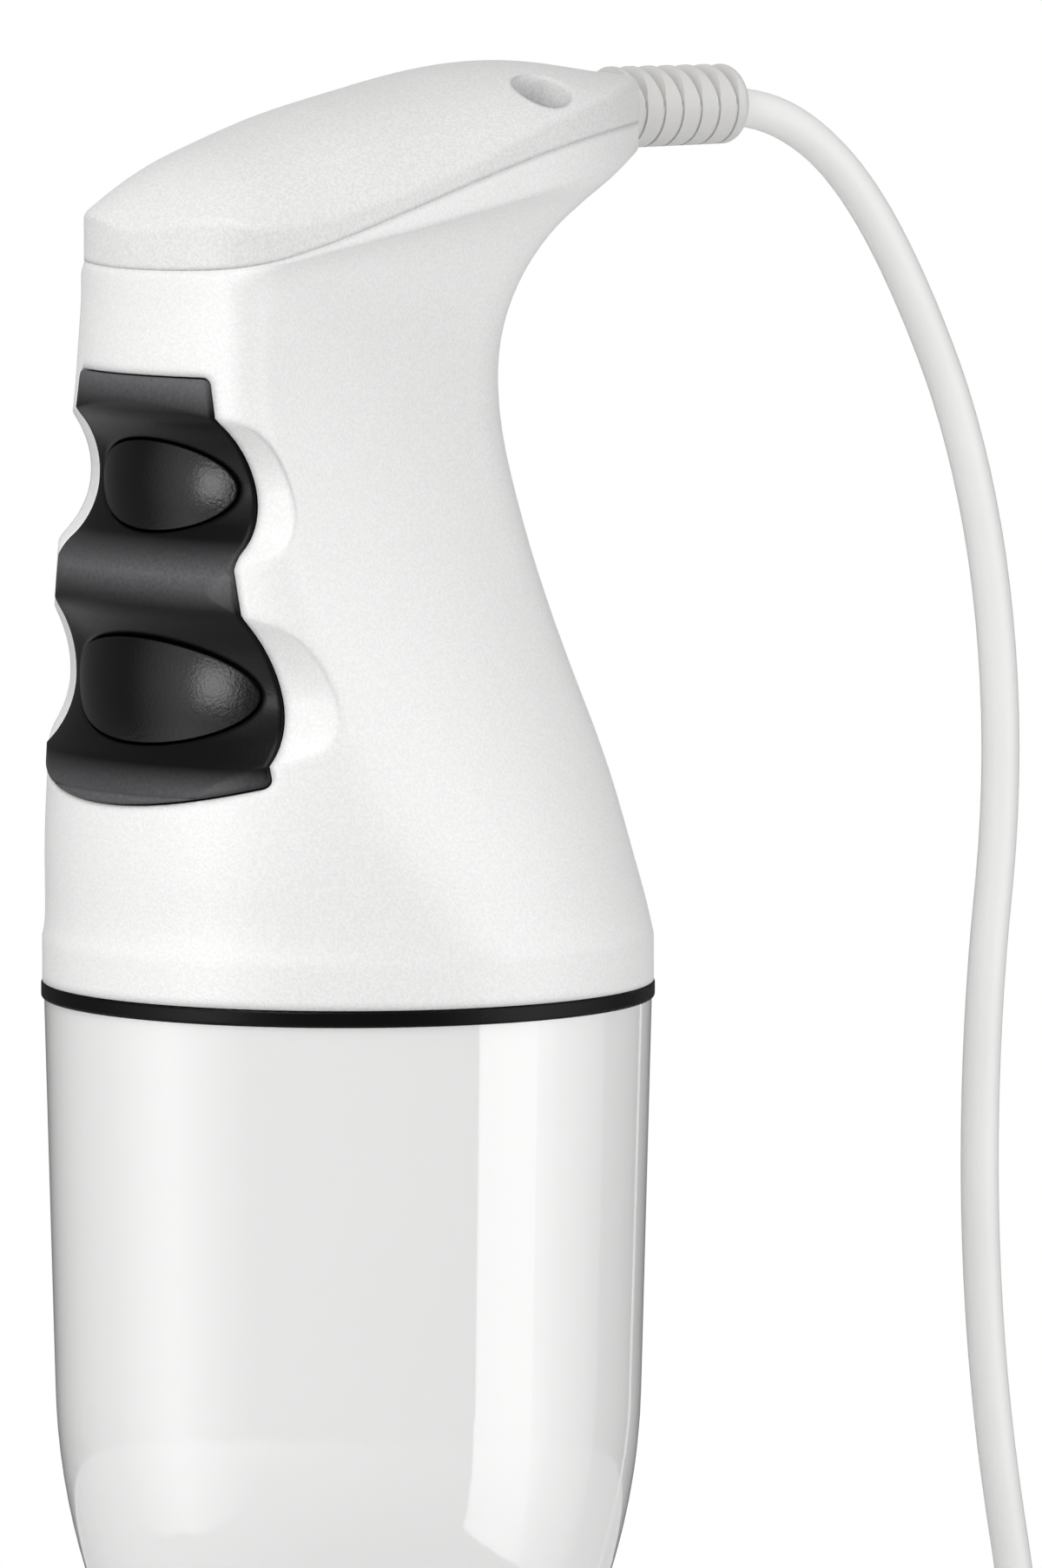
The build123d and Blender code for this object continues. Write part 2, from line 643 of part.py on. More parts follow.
def make_switch_panel(form):
    panel = moved(form, y=-PANEL_PROUD) & panel_prism(0.0, PANEL_BACK_Y)
    for button, z in ((UPPER_BUTTON, GROOVE_Z[0]), (LOWER_BUTTON, GROOVE_Z[1])):
        panel -= button_prism(button, z, MOVING_GAP, -REACH, PANEL_BACK_Y + 1)
    ridge_half = PANEL_TOP_HALF - PANEL_LEDGE / 2
    core_y = RIDGE_MIDDLE[0] - BODY_R + 2 * LEDGE_THICK
    core_z = SEAM_Z + RIDGE_MIDDLE[1]
    core_low, core_top = core_z - LEDGE_THICK, core_z + LEDGE_THICK
    return panel - bar(-ridge_half, ridge_half, core_y, PANEL_BACK_Y + 1, core_low, core_top)


def make_button(button, z, groove_y):
    """Oval push button with a domed face, a flange behind the panel and a stem to its switch."""
    half_x, half_z, dome_r, proud = button
    face_y = groove_y - proud
    flange_y = PANEL_BACK_Y + SHELL_GAP
    dome = moved(Sphere(dome_r), 0, face_y + dome_r, SEAM_Z + z)
    body = button_prism(button, z, 0.0, -REACH, flange_y) & dome
    body += button_prism(button, z, BUTTON_FLANGE, flange_y, flange_y + BUTTON_FLANGE_THICK)
    return body + rod_y(BUTTON_STEM_R, flange_y, STEM_END_Y, 0, SEAM_Z + z)


def make_plunger(z):
    return rod_y(PLUNGER_R, STEM_END_Y, STEM_END_Y + PLUNGER_LENGTH, 0, SEAM_Z + z)


def make_button_spring(z):
    """Return spring round the stem, between the button's flange and the carrier."""
    length = CARRIER_Y - FLANGE_BACK_Y - 2 * SPRING_WIRE - 2 * SEAT_GAP
    coil = Helix(length / SPRING_TURNS, length, SPRING_R)
    wire = Plane(coil @ 0, z_dir=coil % 0) * Circle(SPRING_WIRE)
    spring = sweep(wire, path=coil)
    return moved(Rot(-90, 0, 0) * spring, 0, FLANGE_BACK_Y + SPRING_WIRE + SEAT_GAP, SEAM_Z + z)


def make_switch_carrier():
    """Plate behind the buttons with pads on the ledge, and rails that hold the switches and board."""
    low, top = SEAM_Z + CARRIER_LOW_Z, SEAM_Z + CARRIER_TOP_Z
    carrier = bar(-CARRIER_HALF, CARRIER_HALF, CARRIER_Y, CARRIER_BACK_Y, low, top)
    pad = PANEL_TOP_Z - CARRIER_TOP_Z + PANEL_LEDGE
    for side in (-1, 1):
        edge = side * CARRIER_HALF
        inner = side * (CARRIER_HALF - CARRIER_PAD)
        x0, x1 = min(edge, inner), max(edge, inner)
        carrier += bar(x0, x1, LEDGE_Y, CARRIER_Y, top - pad, top)
        carrier += bar(x0, x1, LEDGE_Y, CARRIER_Y, low, low + 2 * CARRIER_PAD)
        rail = side * (SWITCH_HALF + SEAT_GAP)
        rail_out = rail + side * RAIL_THICK
        x0, x1 = min(rail, rail_out), max(rail, rail_out)
        board_low, board_top = SEAM_Z + BOARD_LOW_Z, SEAM_Z + BOARD_TOP_Z
        carrier += bar(x0, x1, CARRIER_BACK_Y, BOARD_Y, board_low, board_top)
    for z in GROOVE_Z:
        carrier -= rod_y(BUTTON_STEM_R + MOVING_GAP, CARRIER_Y - 1, CARRIER_BACK_Y + 1, 0, SEAM_Z + z)
        half = SWITCH_HEIGHT / 2 + SEAT_GAP
        for z0 in (SEAM_Z + z - half - RAIL_THICK, SEAM_Z + z + half):
            carrier += bar(-SWITCH_HALF - RAIL_THICK, SWITCH_HALF + RAIL_THICK, CARRIER_BACK_Y, SWITCH_Y + 1,
                           z0, z0 + RAIL_THICK)
    return carrier


def make_switch(z):
    low = SEAM_Z + z - SWITCH_HEIGHT / 2
    box = bar(-SWITCH_HALF, SWITCH_HALF, SWITCH_Y, SWITCH_Y + SWITCH_DEPTH, low, low + SWITCH_HEIGHT)
    bore_end = STEM_END_Y + PLUNGER_LENGTH + BUTTON_TRAVEL + MOVING_GAP
    return box - rod_y(PLUNGER_R + RUNNING_GAP, SWITCH_Y - 1, bore_end, 0, SEAM_Z + z)


def make_circuit_board():
    half = SWITCH_HALF + RAIL_THICK
    return bar(-half, half, BOARD_Y, BOARD_Y + BOARD_THICK, SEAM_Z + BOARD_LOW_Z, SEAM_Z + BOARD_TOP_Z)


def on_board(size, z):
    """Block of the given width, depth and height on the back of the board."""
    y = BOARD_Y + BOARD_THICK
    return bar(-size[0] / 2, size[0] / 2, y, y + size[1], SEAM_Z + z - size[2] / 2, SEAM_Z + z + size[2] / 2)


def make_strain_relief():
    """Tapered ribbed sleeve with a neck and flange held between grip and cap."""
    start = TAIL_Y + SHELL_GAP
    length = RELIEF_END_Y - start
    sleeve = Rot(-90, 0, 0) * Cone(RELIEF_ROOT_R, RELIEF_TIP_R, length)
    sleeve = moved(sleeve, 0, start + length / 2, RELIEF_AXIS_Z)
    relief = fillet([e for e in sleeve.edges() if e.bounding_box().min.Y > RELIEF_END_Y - 0.1], RELIEF_SOFT)
    relief += rod_y(RELIEF_NECK_R, FLANGE_Y, start, 0, RELIEF_AXIS_Z)
    relief += rod_y(RELIEF_FLANGE_R, FLANGE_Y, FLANGE_Y + RELIEF_FLANGE_THICK, 0, RELIEF_AXIS_Z)
    reach = 2 * RELIEF_ROOT_R
    for i in range(RELIEF_NOTCHES):
        y = start + RELIEF_PITCH * (i + 0.6)
        r = RELIEF_ROOT_R + (RELIEF_TIP_R - RELIEF_ROOT_R) * (y - start) / length
        foot = Vector(-reach, y, RELIEF_AXIS_Z)
        mouth = [foot + Vector(0, side * RELIEF_NOTCH * reach / (2 * r), reach) for side in (-1, 1)]
        wedge = extrude(Face(Polyline(foot, *mouth, close=True)), amount=2 * reach, dir=(1, 0, 0))
        ring = rod_y(reach, y - RELIEF_LINE, y + RELIEF_LINE, 0, RELIEF_AXIS_Z)
        ring -= rod_y(r - RELIEF_LINE, y - 1, y + 1, 0, RELIEF_AXIS_Z)
        core = rod_y(RELIEF_NOTCH_FLOOR, start, RELIEF_END_Y, 0, RELIEF_AXIS_Z)
        relief -= wedge + ring - core
    flare = Rot(-90, 0, 0) * Cone(CORD_R + RUNNING_GAP, CORD_R + CORD_FLARE, CORD_FLARE_LENGTH)
    relief -= moved(flare, 0, RELIEF_END_Y - CORD_FLARE_LENGTH / 2, RELIEF_AXIS_Z)
    return relief - rod_y(CORD_R + RUNNING_GAP, FLANGE_Y - 1, RELIEF_END_Y + 1, 0, RELIEF_AXIS_Z)


def make_supply_lead():
    """Inner end of the cord: through the relief, over the clamp and down into the grip."""
    route = [
        (0, CORD_ROUTE[0][1], RELIEF_AXIS_Z),
        (0, LEAD_DROP_Y + 4 * CORD_R, RELIEF_AXIS_Z),
        (0, LEAD_DROP_Y, RELIEF_AXIS_Z - 4 * CORD_R),
        (0, LEAD_DROP_Y, SEAM_Z + LEAD_END_Z),
    ]
    path = FilletPolyline(*route, radius=2.5 * CORD_R)
    return sweep(Plane(path @ 0, z_dir=path % 0) * Circle(CORD_R), path=path)


def make_cord_clamp():
    """Bar that presses the lead against the back wall of the chamber."""
    z0, z1 = SEAM_Z + CLAMP_Z - CLAMP_HEIGHT / 2, SEAM_Z + CLAMP_Z + CLAMP_HEIGHT / 2
    half = CHAMBER_HALF - SHELL_GAP
    front = LEAD_DROP_Y - CORD_R - CLAMP_THICK
    clamp = bar(-half, half, front, CHAMBER_BACK_Y - SEAT_GAP, z0, z1)
    room = CORD_R + RUNNING_GAP
    clamp -= rod(room, z0 - 1, z1 + 1, 0, LEAD_DROP_Y)
    clamp -= bar(-room, room, LEAD_DROP_Y, CHAMBER_BACK_Y, z0 - 1, z1 + 1)
    for side in (-1, 1):
        x = side * CLAMP_SCREW_X
        clamp -= rod_y(CLAMP_SCREW_R + RUNNING_GAP, front - 1, CHAMBER_BACK_Y + 1, x, SEAM_Z + CLAMP_Z)
    return clamp


def make_clamp_screws():
    front = LEAD_DROP_Y - CORD_R - CLAMP_THICK
    screws = []
    for side in (-1, 1):
        x, z = side * CLAMP_SCREW_X, SEAM_Z + CLAMP_Z
        screw = rod_y(CLAMP_SCREW_R, front, CHAMBER_BACK_Y + CLAMP_SCREW_BITE, x, z)
        screws.append(screw + rod_y(2 * CLAMP_SCREW_R, front - CLAMP_SCREW_R, front, x, z))
    return screws


def make_lead_wires():
    """Two insulated wires from the lead's end to the terminal block."""
    wires = []
    start_z, end_z = SEAM_Z + LEAD_END_Z, SEAM_Z + TERMINAL_Z + TERMINAL[2] / 2
    end_y = BOARD_Y + BOARD_THICK + TERMINAL[1] / 2
    bend_z = (end_z + SEAM_Z + CAPACITOR_Z - CAPACITOR[2] / 2) / 2
    for side in (-1, 1):
        x0, x1 = side * CORD_R / 2, side * TERMINAL[0] / 4
        route = [
            (x0, LEAD_DROP_Y, start_z),
            (x0, LEAD_DROP_Y, bend_z + 4 * WIRE_R),
            (x1, end_y, bend_z - 4 * WIRE_R),
            (x1, end_y, end_z),
        ]
        path = FilletPolyline(*route, radius=4 * WIRE_R)
        wires.append(sweep(Plane(path @ 0, z_dir=path % 0) * Circle(WIRE_R), path=path))
    return wires


def make_seam_ring():
    ring = tube(BODY_R + SEAM_PROUD, SPIGOT_R + SHELL_GAP / 2, SEAM_LOW, SEAM_TOP)
    edges = [e for e in ring.edges() if e.geom_type == GeomType.CIRCLE and e.radius > BODY_R]
    return fillet(edges, SEAM_HEIGHT / 6)


def bullet(inset, end_r, end_z):
    """Turned bullet form of the lower housing, drawn in by inset and closed at end_z."""
    cone_z = SEAM_LOW - LOWER_CONE_LENGTH
    top = Vector(LOWER_TOP_R - inset, 0, SEAM_LOW)
    knee = Vector(LOWER_CONE_R - inset, 0, cone_z)
    end = Vector(end_r, 0, end_z)
    edges = [
        Line((0, 0, SEAM_LOW), top),
        Line(top, knee),
        TangentArc(knee, end, tangent=(knee - top).normalized()),
        Line(end, (0, 0, end_z)),
        Line((0, 0, end_z), (0, 0, SEAM_LOW)),
    ]
    return revolve(Face(Wire(edges)), Axis.Z)


def motor_bay(gap=0.0):
    """Hollow of the lower housing, smaller all round by gap."""
    return bullet(SHELL_WALL + gap, NOSE_R + 0.6 - gap, NOSE_Z + NOSE_FLOOR)


def make_lower_housing():
    outside = bullet(0.0, NOSE_R, NOSE_Z)
    shelves = []
    for z in (LOWER_BRACKET_Z, UPPER_BRACKET_Z):
        ring = motor_bay() & tube(REACH, 0.1, z - SHELF_THICK, z)
        reach = ring.bounding_box().max.X - SHELF_WIDTH
        shelves.append(ring - rod(reach, z - REACH, z + REACH))
    housing = outside - motor_bay() - rod(TUBE_R + SEAT_GAP, NOSE_Z - 1, NOSE_Z + NOSE_FLOOR + 1)
    for shelf in shelves:
        housing += shelf
    return housing


def bearing_boss(z0, z1):
    return rod(BEARING_R + BRACKET_BOSS_WALL, z0, z1)


def motor_screw_spots():
    return [(0, side * MOTOR_SCREW_Y) for side in (-1, 1)]


def make_lower_bracket():
    """Spider on the lower shelf: bearing boss in the middle, two posts under the stator."""
    z0, z1 = LOWER_BRACKET_Z, LOWER_BRACKET_Z + BRACKET_THICK
    bracket = motor_bay(SHELL_GAP) & rod(REACH, z0, z1)
    for i in range(4):
        window = rod(BEARING_R, z0 - 1, z1 + 1, STATOR_R * 0.62, 0)
        bracket -= Rot(0, 0, 45 + 90 * i) * window
    bracket += bearing_boss(LOWER_BEARING_Z, z1)
    for x, y in motor_screw_spots():
        bracket += rod(2 * MOTOR_SCREW_R, z1, STATOR_LOW_Z, x, y)
        bracket -= rod(MOTOR_SCREW_R + RUNNING_GAP, z1, STATOR_LOW_Z + 1, x, y)
    return bracket - rod(BEARING_R + RUNNING_GAP, LOWER_BEARING_Z - 1, z1 + 1)


def make_upper_bracket():
    """Ring on the upper shelf with a cross, a bearing boss and two posts on the stator."""
    z0, z1 = UPPER_BRACKET_Z, UPPER_BRACKET_Z + BRACKET_THICK
    disc = motor_bay(SHELL_GAP) & rod(REACH, z0, z1)
    half = BEARING_R + BRACKET_BOSS_WALL
    cross = bar(-REACH, REACH, -half, half, z0, z1) + bar(-half, half, -REACH, REACH, z0, z1)
    rim = disc - rod(STATOR_R + SHELF_WIDTH, z0 - 1, z1 + 1)
    bracket = rim + (disc & cross) + bearing_boss(z0, z0 + BEARING_LENGTH)
    for x, y in motor_screw_spots():
        bracket += rod(2 * MOTOR_SCREW_R, STATOR_TOP_Z, z0, x, y)
        bracket -= rod(MOTOR_SCREW_R + RUNNING_GAP, STATOR_TOP_Z - 1, z1 + 1, x, y)
    return bracket - rod(BEARING_R + RUNNING_GAP, z0 - 1, z0 + BEARING_LENGTH + 1)


def make_motor_screws():
    top = UPPER_BRACKET_Z + BRACKET_THICK
    low = LOWER_BRACKET_Z + BRACKET_THICK + MOTOR_SCREW_R
    screws = []
    for x, y in motor_screw_spots():
        head = rod(2 * MOTOR_SCREW_R, top, top + MOTOR_SCREW_R, x, y)
        screws.append(rod(MOTOR_SCREW_R, low, top, x, y) + head)
    return screws


def make_bearing(z0):
    return tube(BEARING_R, SHAFT_R + RUNNING_GAP, z0, z0 + BEARING_LENGTH)


def make_stator_core():
    """Laminated stack with two poles, two winding windows and two screw holes."""
    z0, z1 = STATOR_LOW_Z, STATOR_TOP_Z
    core = tube(STATOR_R, ARMATURE_R + AIR_GAP, z0, z1)
    windows = tube(COIL_OUTER_R + MOVING_GAP, ARMATURE_R, z0 - 1, z1 + 1)
    windows -= bar(-REACH, REACH, -COIL_SIDE_Y, COIL_SIDE_Y, z0 - 2, z1 + 2)
    for x, y in motor_screw_spots():
        core -= rod(MOTOR_SCREW_R + RUNNING_GAP, z0 - 1, z1 + 1, x, y)
    return core - windows


def make_field_coils():
    """Two windings: sides in the stator's windows, heads bent round the bore at both ends."""
    coils = []
    low, top = STATOR_LOW_Z - COIL_HEAD, STATOR_TOP_Z + COIL_HEAD
    ring = tube(COIL_OUTER_R, COIL_INNER_R, low, top)
    side_y = COIL_SIDE_Y + SEAT_GAP
    ring -= bar(-REACH, REACH, -side_y, side_y, STATOR_LOW_Z - SEAT_GAP, STATOR_TOP_Z + SEAT_GAP)
    for x0, x1 in ((MOVING_GAP, REACH), (-REACH, -MOVING_GAP)):
        coil = ring & bar(x0, x1, -REACH, REACH, low - 1, top + 1)
        for x, y in motor_screw_spots():
            coil -= rod(2 * MOTOR_SCREW_R + MOVING_GAP, low - 1, top + 1, x, y)
        coils.append(coil)
    return coils


def make_armature_core():
    core = tube(ARMATURE_R, SHAFT_R, STATOR_LOW_Z, STATOR_TOP_Z)
    for i in range(ARMATURE_SLOTS):
        slot = bar(ARMATURE_R - SLOT_DEPTH, ARMATURE_R + 1, -SLOT_WIDTH / 2, SLOT_WIDTH / 2,
                   STATOR_LOW_Z - 1, STATOR_TOP_Z + 1)
        core -= Rot(0, 0, 360 / ARMATURE_SLOTS * i) * slot
    return core


def make_armature_windings():
    """Winding heads below and above the armature."""
    return [
        tube(WINDING_R, SHAFT_R, STATOR_LOW_Z - WINDING_HEAD, STATOR_LOW_Z),
        tube(WINDING_R, SHAFT_R, STATOR_TOP_Z, STATOR_TOP_Z + WINDING_HEAD),
    ]


def make_commutator():
    ring = tube(COMMUTATOR_R, SHAFT_R, COMMUTATOR_Z, COMMUTATOR_Z + COMMUTATOR_LENGTH)
    for i in range(COMMUTATOR_BARS):
        inner, top = COMMUTATOR_R - BAR_GAP_DEPTH, BRUSH_Z + COMMUTATOR_LENGTH
        gap = bar(inner, COMMUTATOR_R + 1, -BAR_GAP / 2, BAR_GAP / 2, COMMUTATOR_Z - 1, top)
        ring -= Rot(0, 0, 360 / COMMUTATOR_BARS * (i + 0.5)) * gap
    return ring


def both_sides(shape):
    return [shape, Rot(0, 0, 180) * shape]


def make_brush_holders():
    """Box tubes hung under the upper bracket's cross arms, closed at their outer ends."""
    half_y = BRUSH_WIDTH / 2 + SEAT_GAP
    half_z = BRUSH_HEIGHT / 2 + SEAT_GAP
    wall = BRUSH_HOLDER_WALL
    end = HOLDER_X + BRUSH_HOLDER_LENGTH
    holder = bar(HOLDER_X, end, -half_y - wall, half_y + wall, BRUSH_Z - half_z - wall, UPPER_BRACKET_Z)
    low, top = BRUSH_Z - half_z, BRUSH_Z + half_z
    return both_sides(holder - bar(HOLDER_X - 1, end - wall, -half_y, half_y, low, top))


def make_carbon_brushes():
    half_y, half_z = BRUSH_WIDTH / 2, BRUSH_HEIGHT / 2
    end = BRUSH_X + BRUSH_LENGTH
    return both_sides(bar(BRUSH_X, end, -half_y, half_y, BRUSH_Z - half_z, BRUSH_Z + half_z))


def make_brush_springs():
    start = BRUSH_X + BRUSH_LENGTH
    end = HOLDER_X + BRUSH_HOLDER_LENGTH - BRUSH_HOLDER_WALL
    wire_r = BRUSH_HEIGHT / 12
    length = end - start - 2 * wire_r - 2 * SEAT_GAP
    coil = Helix(length / 5, length, BRUSH_HEIGHT / 2 - 2 * wire_r)
    spring = sweep(Plane(coil @ 0, z_dir=coil % 0) * Circle(wire_r), path=coil)
    return both_sides(moved(Rot(0, 90, 0) * spring, start + wire_r + SEAT_GAP, 0, BRUSH_Z))


def make_motor_shaft():
    return rod(SHAFT_R, COUPLING_MIDDLE_Z + SEAT_GAP, MOTOR_SHAFT_TOP_Z)


def make_shaft_coupling():
    body = rod(COUPLING_R, COUPLING_Z, COUPLING_Z + COUPLING_LENGTH)
    body -= rod(SHAFT_R, COUPLING_MIDDLE_Z, COUPLING_Z + COUPLING_LENGTH + 1)
    return body - rod(DRIVE_R, COUPLING_Z - 1, COUPLING_MIDDLE_Z)


def make_drive_shaft():
    shaft = rod(DRIVE_R, SHAFT_LOW_Z, COUPLING_MIDDLE_Z)
    return shaft - rod_x(PIN_R, -REACH, REACH, 0, PIN_Z)


def make_drive_pin():
    return rod_x(PIN_R, -HUB_R + 0.4, HUB_R - 0.4, 0, PIN_Z)


def make_shaft_tube():
    """Long tube with a flange that sits on the floor of the housing's nose."""
    body = rod(TUBE_R, TUBE_LOW_Z, TUBE_FLANGE_Z) + rod(TUBE_FLANGE_R, TUBE_FLANGE_Z, TUBE_TOP_Z)
    return body - rod(TUBE_BORE_R, TUBE_LOW_Z - 1, TUBE_TOP_Z + 1)


def make_tube_lock_ring():
    return tube(TUBE_FLANGE_R, TUBE_BORE_R, TUBE_TOP_Z, TUBE_TOP_Z + TUBE_FLANGE)


def make_nose_ring():
    """Rubber ring round the tube, under the housing's nose."""
    ring = Cone(TUBE_R + 1.6, NOSE_R, NOSE_RING)
    ring = moved(ring, z=NOSE_Z - NOSE_RING / 2)
    return ring - rod(TUBE_R + RUNNING_GAP, NOSE_Z - NOSE_RING - 1, NOSE_Z + 1)


def make_upper_shaft_bush():
    return tube(TUBE_BORE_R - RUNNING_GAP, DRIVE_R + RUNNING_GAP, UPPER_BUSH_Z, UPPER_BUSH_Z + BUSH_LENGTH)


def make_lower_shaft_bush():
    return tube(GUARD_BOSS_R - RUNNING_GAP, DRIVE_R + RUNNING_GAP, LOWER_BUSH_Z, TUBE_LOW_Z)


def make_shaft_seal():
    return tube(GUARD_BOSS_R - RUNNING_GAP, DRIVE_R + RUNNING_GAP, SEAL_Z, LOWER_BUSH_Z)


def make_retaining_ring():
    z = TUBE_LOW_Z + MOVING_GAP
    ring = tube(CLIP_R, DRIVE_R, z, z + CLIP_THICK)
    return ring - bar(0, REACH, -CLIP_THICK, CLIP_THICK, z - 1, z + 2)


def guard_turned(inset, shoulder_r):
    """Turned bell of the blade guard: rim, dome and neck, drawn in by inset."""
    rim = Vector(GUARD_R - inset, 0, GUARD_RIM)
    shoulder = Vector(shoulder_r, 0, GUARD_SHOULDER_Z - inset)
    edges = [
        Line((0, 0, 0), (GUARD_R - inset, 0, 0)),
        Line((GUARD_R - inset, 0, 0), rim),
        TangentArc(rim, shoulder, tangent=(0, 0, 1)),
        Line(shoulder, (0, 0, GUARD_SHOULDER_Z - inset)),
        Line((0, 0, GUARD_SHOULDER_Z - inset), (0, 0, 0)),
    ]
    return revolve(Face(Wire(edges)), Axis.Z)


def make_blade_guard():
    """Bell with a whole rim, arched windows and a neck that takes the tube, bush and seal."""
    neck = rod(GUARD_NECK_R, GUARD_SHOULDER_Z - 3, GUARD_TOP_Z)
    neck = chamfer(neck.edges().group_by(Axis.Z)[-1], (GUARD_NECK_R - TUBE_R) * 0.6)
    guard = guard_turned(0.0, GUARD_NECK_R) + neck
    guard -= guard_turned(GUARD_WALL, GUARD_NECK_R - GUARD_WALL)
    guard += rod(GUARD_BOSS_R + GUARD_WALL, SEAL_Z - GUARD_WALL, GUARD_SHOULDER_Z)
    guard -= rod(DRIVE_R + MOVING_GAP, SEAL_Z - GUARD_WALL - 1, GUARD_TOP_Z)
    guard -= rod(GUARD_BOSS_R, SEAL_Z, GUARD_TOP_Z)
    guard -= rod(TUBE_R + RUNNING_GAP, TUBE_LOW_Z, GUARD_TOP_Z + 1)
    arch_z = WINDOW_TOP_Z - WINDOW_HALF
    arch = rod_x(WINDOW_HALF, 0, REACH, 0, max(arch_z, GUARD_RIM))
    arch &= bar(0, REACH, -WINDOW_HALF, WINDOW_HALF, GUARD_RIM, WINDOW_TOP_Z)
    arch -= rod(GUARD_BOSS_R + GUARD_WALL + 1, 0, GUARD_TOP_Z)
    for i in range(WINDOW_COUNT):
        guard -= Rot(0, 0, 360 / WINDOW_COUNT * i) * arch
    return guard


def make_blade_hub():
    """Push-on hub with a slot that drops over the shaft's cross pin."""
    top = HUB_LOW_Z + HUB_HEIGHT
    hub = rod(HUB_R, HUB_LOW_Z, top) - rod(DRIVE_R + RUNNING_GAP, SHAFT_LOW_Z - 0.5, top + 1)
    slot = PIN_R + RUNNING_GAP
    hub -= rod_x(slot, -REACH, REACH, 0, PIN_Z)
    return hub - bar(-REACH, REACH, -slot, slot, PIN_Z, top + 1)


def make_blade():
    """Two-winged blade round the hub, each wing pitched the other way."""
    z = HUB_LOW_Z + BLADE_THICK
    disc = rod(HUB_R + 2.0, z, z + BLADE_THICK)
    for i in range(2):
        wing = Box(BLADE_R, BLADE_WIDTH, BLADE_THICK)
        wing = moved(wing, x=BLADE_R / 2)
        wing = Rot(BLADE_TWIST, 0, 0) * wing
        disc += Rot(0, 0, 180 * i) * moved(wing, z=z + BLADE_THICK / 2)
    disc &= rod(BLADE_R, 0, GUARD_TOP_Z)
    return disc - rod(HUB_R, 0, GUARD_TOP_Z)


def turn_radii(points):
    """Radius of the arc at each inner point of a route: as large as its shorter run allows."""
    radii = []
    for before, here, after in zip(points, points[1:], points[2:]):
        turn = math.radians((here - before).get_angle(after - here))
        shorter = min((here - before).length, (after - here).length)
        radii.append(CORD_BEND_SHARE * shorter / math.tan(turn / 2))
    return radii


def swept_cord(path):
    return sweep(Plane(path @ 0, z_dir=path % 0) * Circle(CORD_R), path=path)


def make_cord_drop():
    """Hanging stretch of the cord, from inside the strain relief down to the coil."""
    points = [Vector(*point) for point in CORD_ROUTE]
    radii = turn_radii(points)
    path = FilletPolyline(*points, radius=radii)
    cord = swept_cord(path)
    print("cord drop radii", [round(r, 1) for r in radii], "length", round(path.length, 1))
    ratio = cord.volume / (math.pi * CORD_R**2 * path.length)
    print("cord drop volume over section times length", round(ratio, 4))
    return cord


def coil_path():
    """Unbroken line of the coil: spiral in below, climb half a turn, spiral out above."""

    def spot(reach, z):
        return Vector(COIL_X + reach, COIL_Y, z)

    low, high = COIL_Z, COIL_Z + COIL_LAYER
    stops = []
    for i in range(COIL_TURNS):
        r = COIL_OUT_R - i * COIL_PITCH
        stops += [spot(-r, low), spot(r - COIL_PITCH, low)]
    start = spot(COIL_OUT_R, low)
    edges = [Line(start - Vector(0, 2 * CORD_R, 0), start)]
    for stop in stops:
        edges.append(TangentArc(edges[-1] @ 1, stop, tangent=edges[-1] % 1))
    begin, end = spot(COIL_IN_R, low), spot(-COIL_IN_R, high)
    middle = (begin + end) * 0.5 + Vector(0, (end - begin).length / 2, 0)
    for stop in (middle, end):
        edges.append(TangentArc(edges[-1] @ 1, stop, tangent=edges[-1] % 1))
    for i in range(COIL_TURNS):
        r = COIL_IN_R + (i + 1) * COIL_PITCH
        for reach in (r, -r):
            edges.append(TangentArc(edges[-1] @ 1, spot(reach, high), tangent=edges[-1] % 1))
    edges.append(Line(edges[-1] @ 1, (edges[-1] @ 1) - Vector(0, PLUG_TAIL, 0)))
    return edges


def least_self_gap(edges, steps=16):
    """Smallest clear gap between points of the cord that are more than a few diameters apart along it."""
    points, places, run = [], [], 0.0
    for edge in edges:
        for i in range(steps):
            points.append(edge @ (i / steps))
            places.append(run + edge.length * i / steps)
        run += edge.length
    apart = 8 * CORD_R
    gaps = [
        (points[i] - points[j]).length
        for i in range(len(points))
        for j in range(i)
        if places[i] - places[j] > apart
    ]
    return min(gaps) - 2 * CORD_R


def make_cord_coil():
    edges = coil_path()
    path = Wire(edges)
    coil = swept_cord(path)
    print("coil length", round(path.length, 1), "least gap to itself", round(least_self_gap(edges), 2))
    ratio = coil.volume / (math.pi * CORD_R**2 * path.length)
    print("coil volume over section times length", round(ratio, 4))
    return coil


def make_cord_tie():
    """Flat strap round the turns of the coil on the side nearest the blender."""
    slack = CORD_R + TIE_GAP
    bow = TIE_WIDTH**2 / 8 / COIL_IN_R
    inner_y = COIL_Y - COIL_IN_R + slack + bow
    outer_y = COIL_Y - COIL_OUT_R - slack
    low, high = COIL_Z - slack, PLUG_Z + slack
    x0, x1 = COIL_X - TIE_WIDTH / 2, COIL_X + TIE_WIDTH / 2
    t = TIE_THICK
    strap = bar(x0, x1, outer_y - t, inner_y + t, low - t, high + t)
    return strap - bar(x0 - 1, x1 + 1, outer_y, inner_y, low, high)


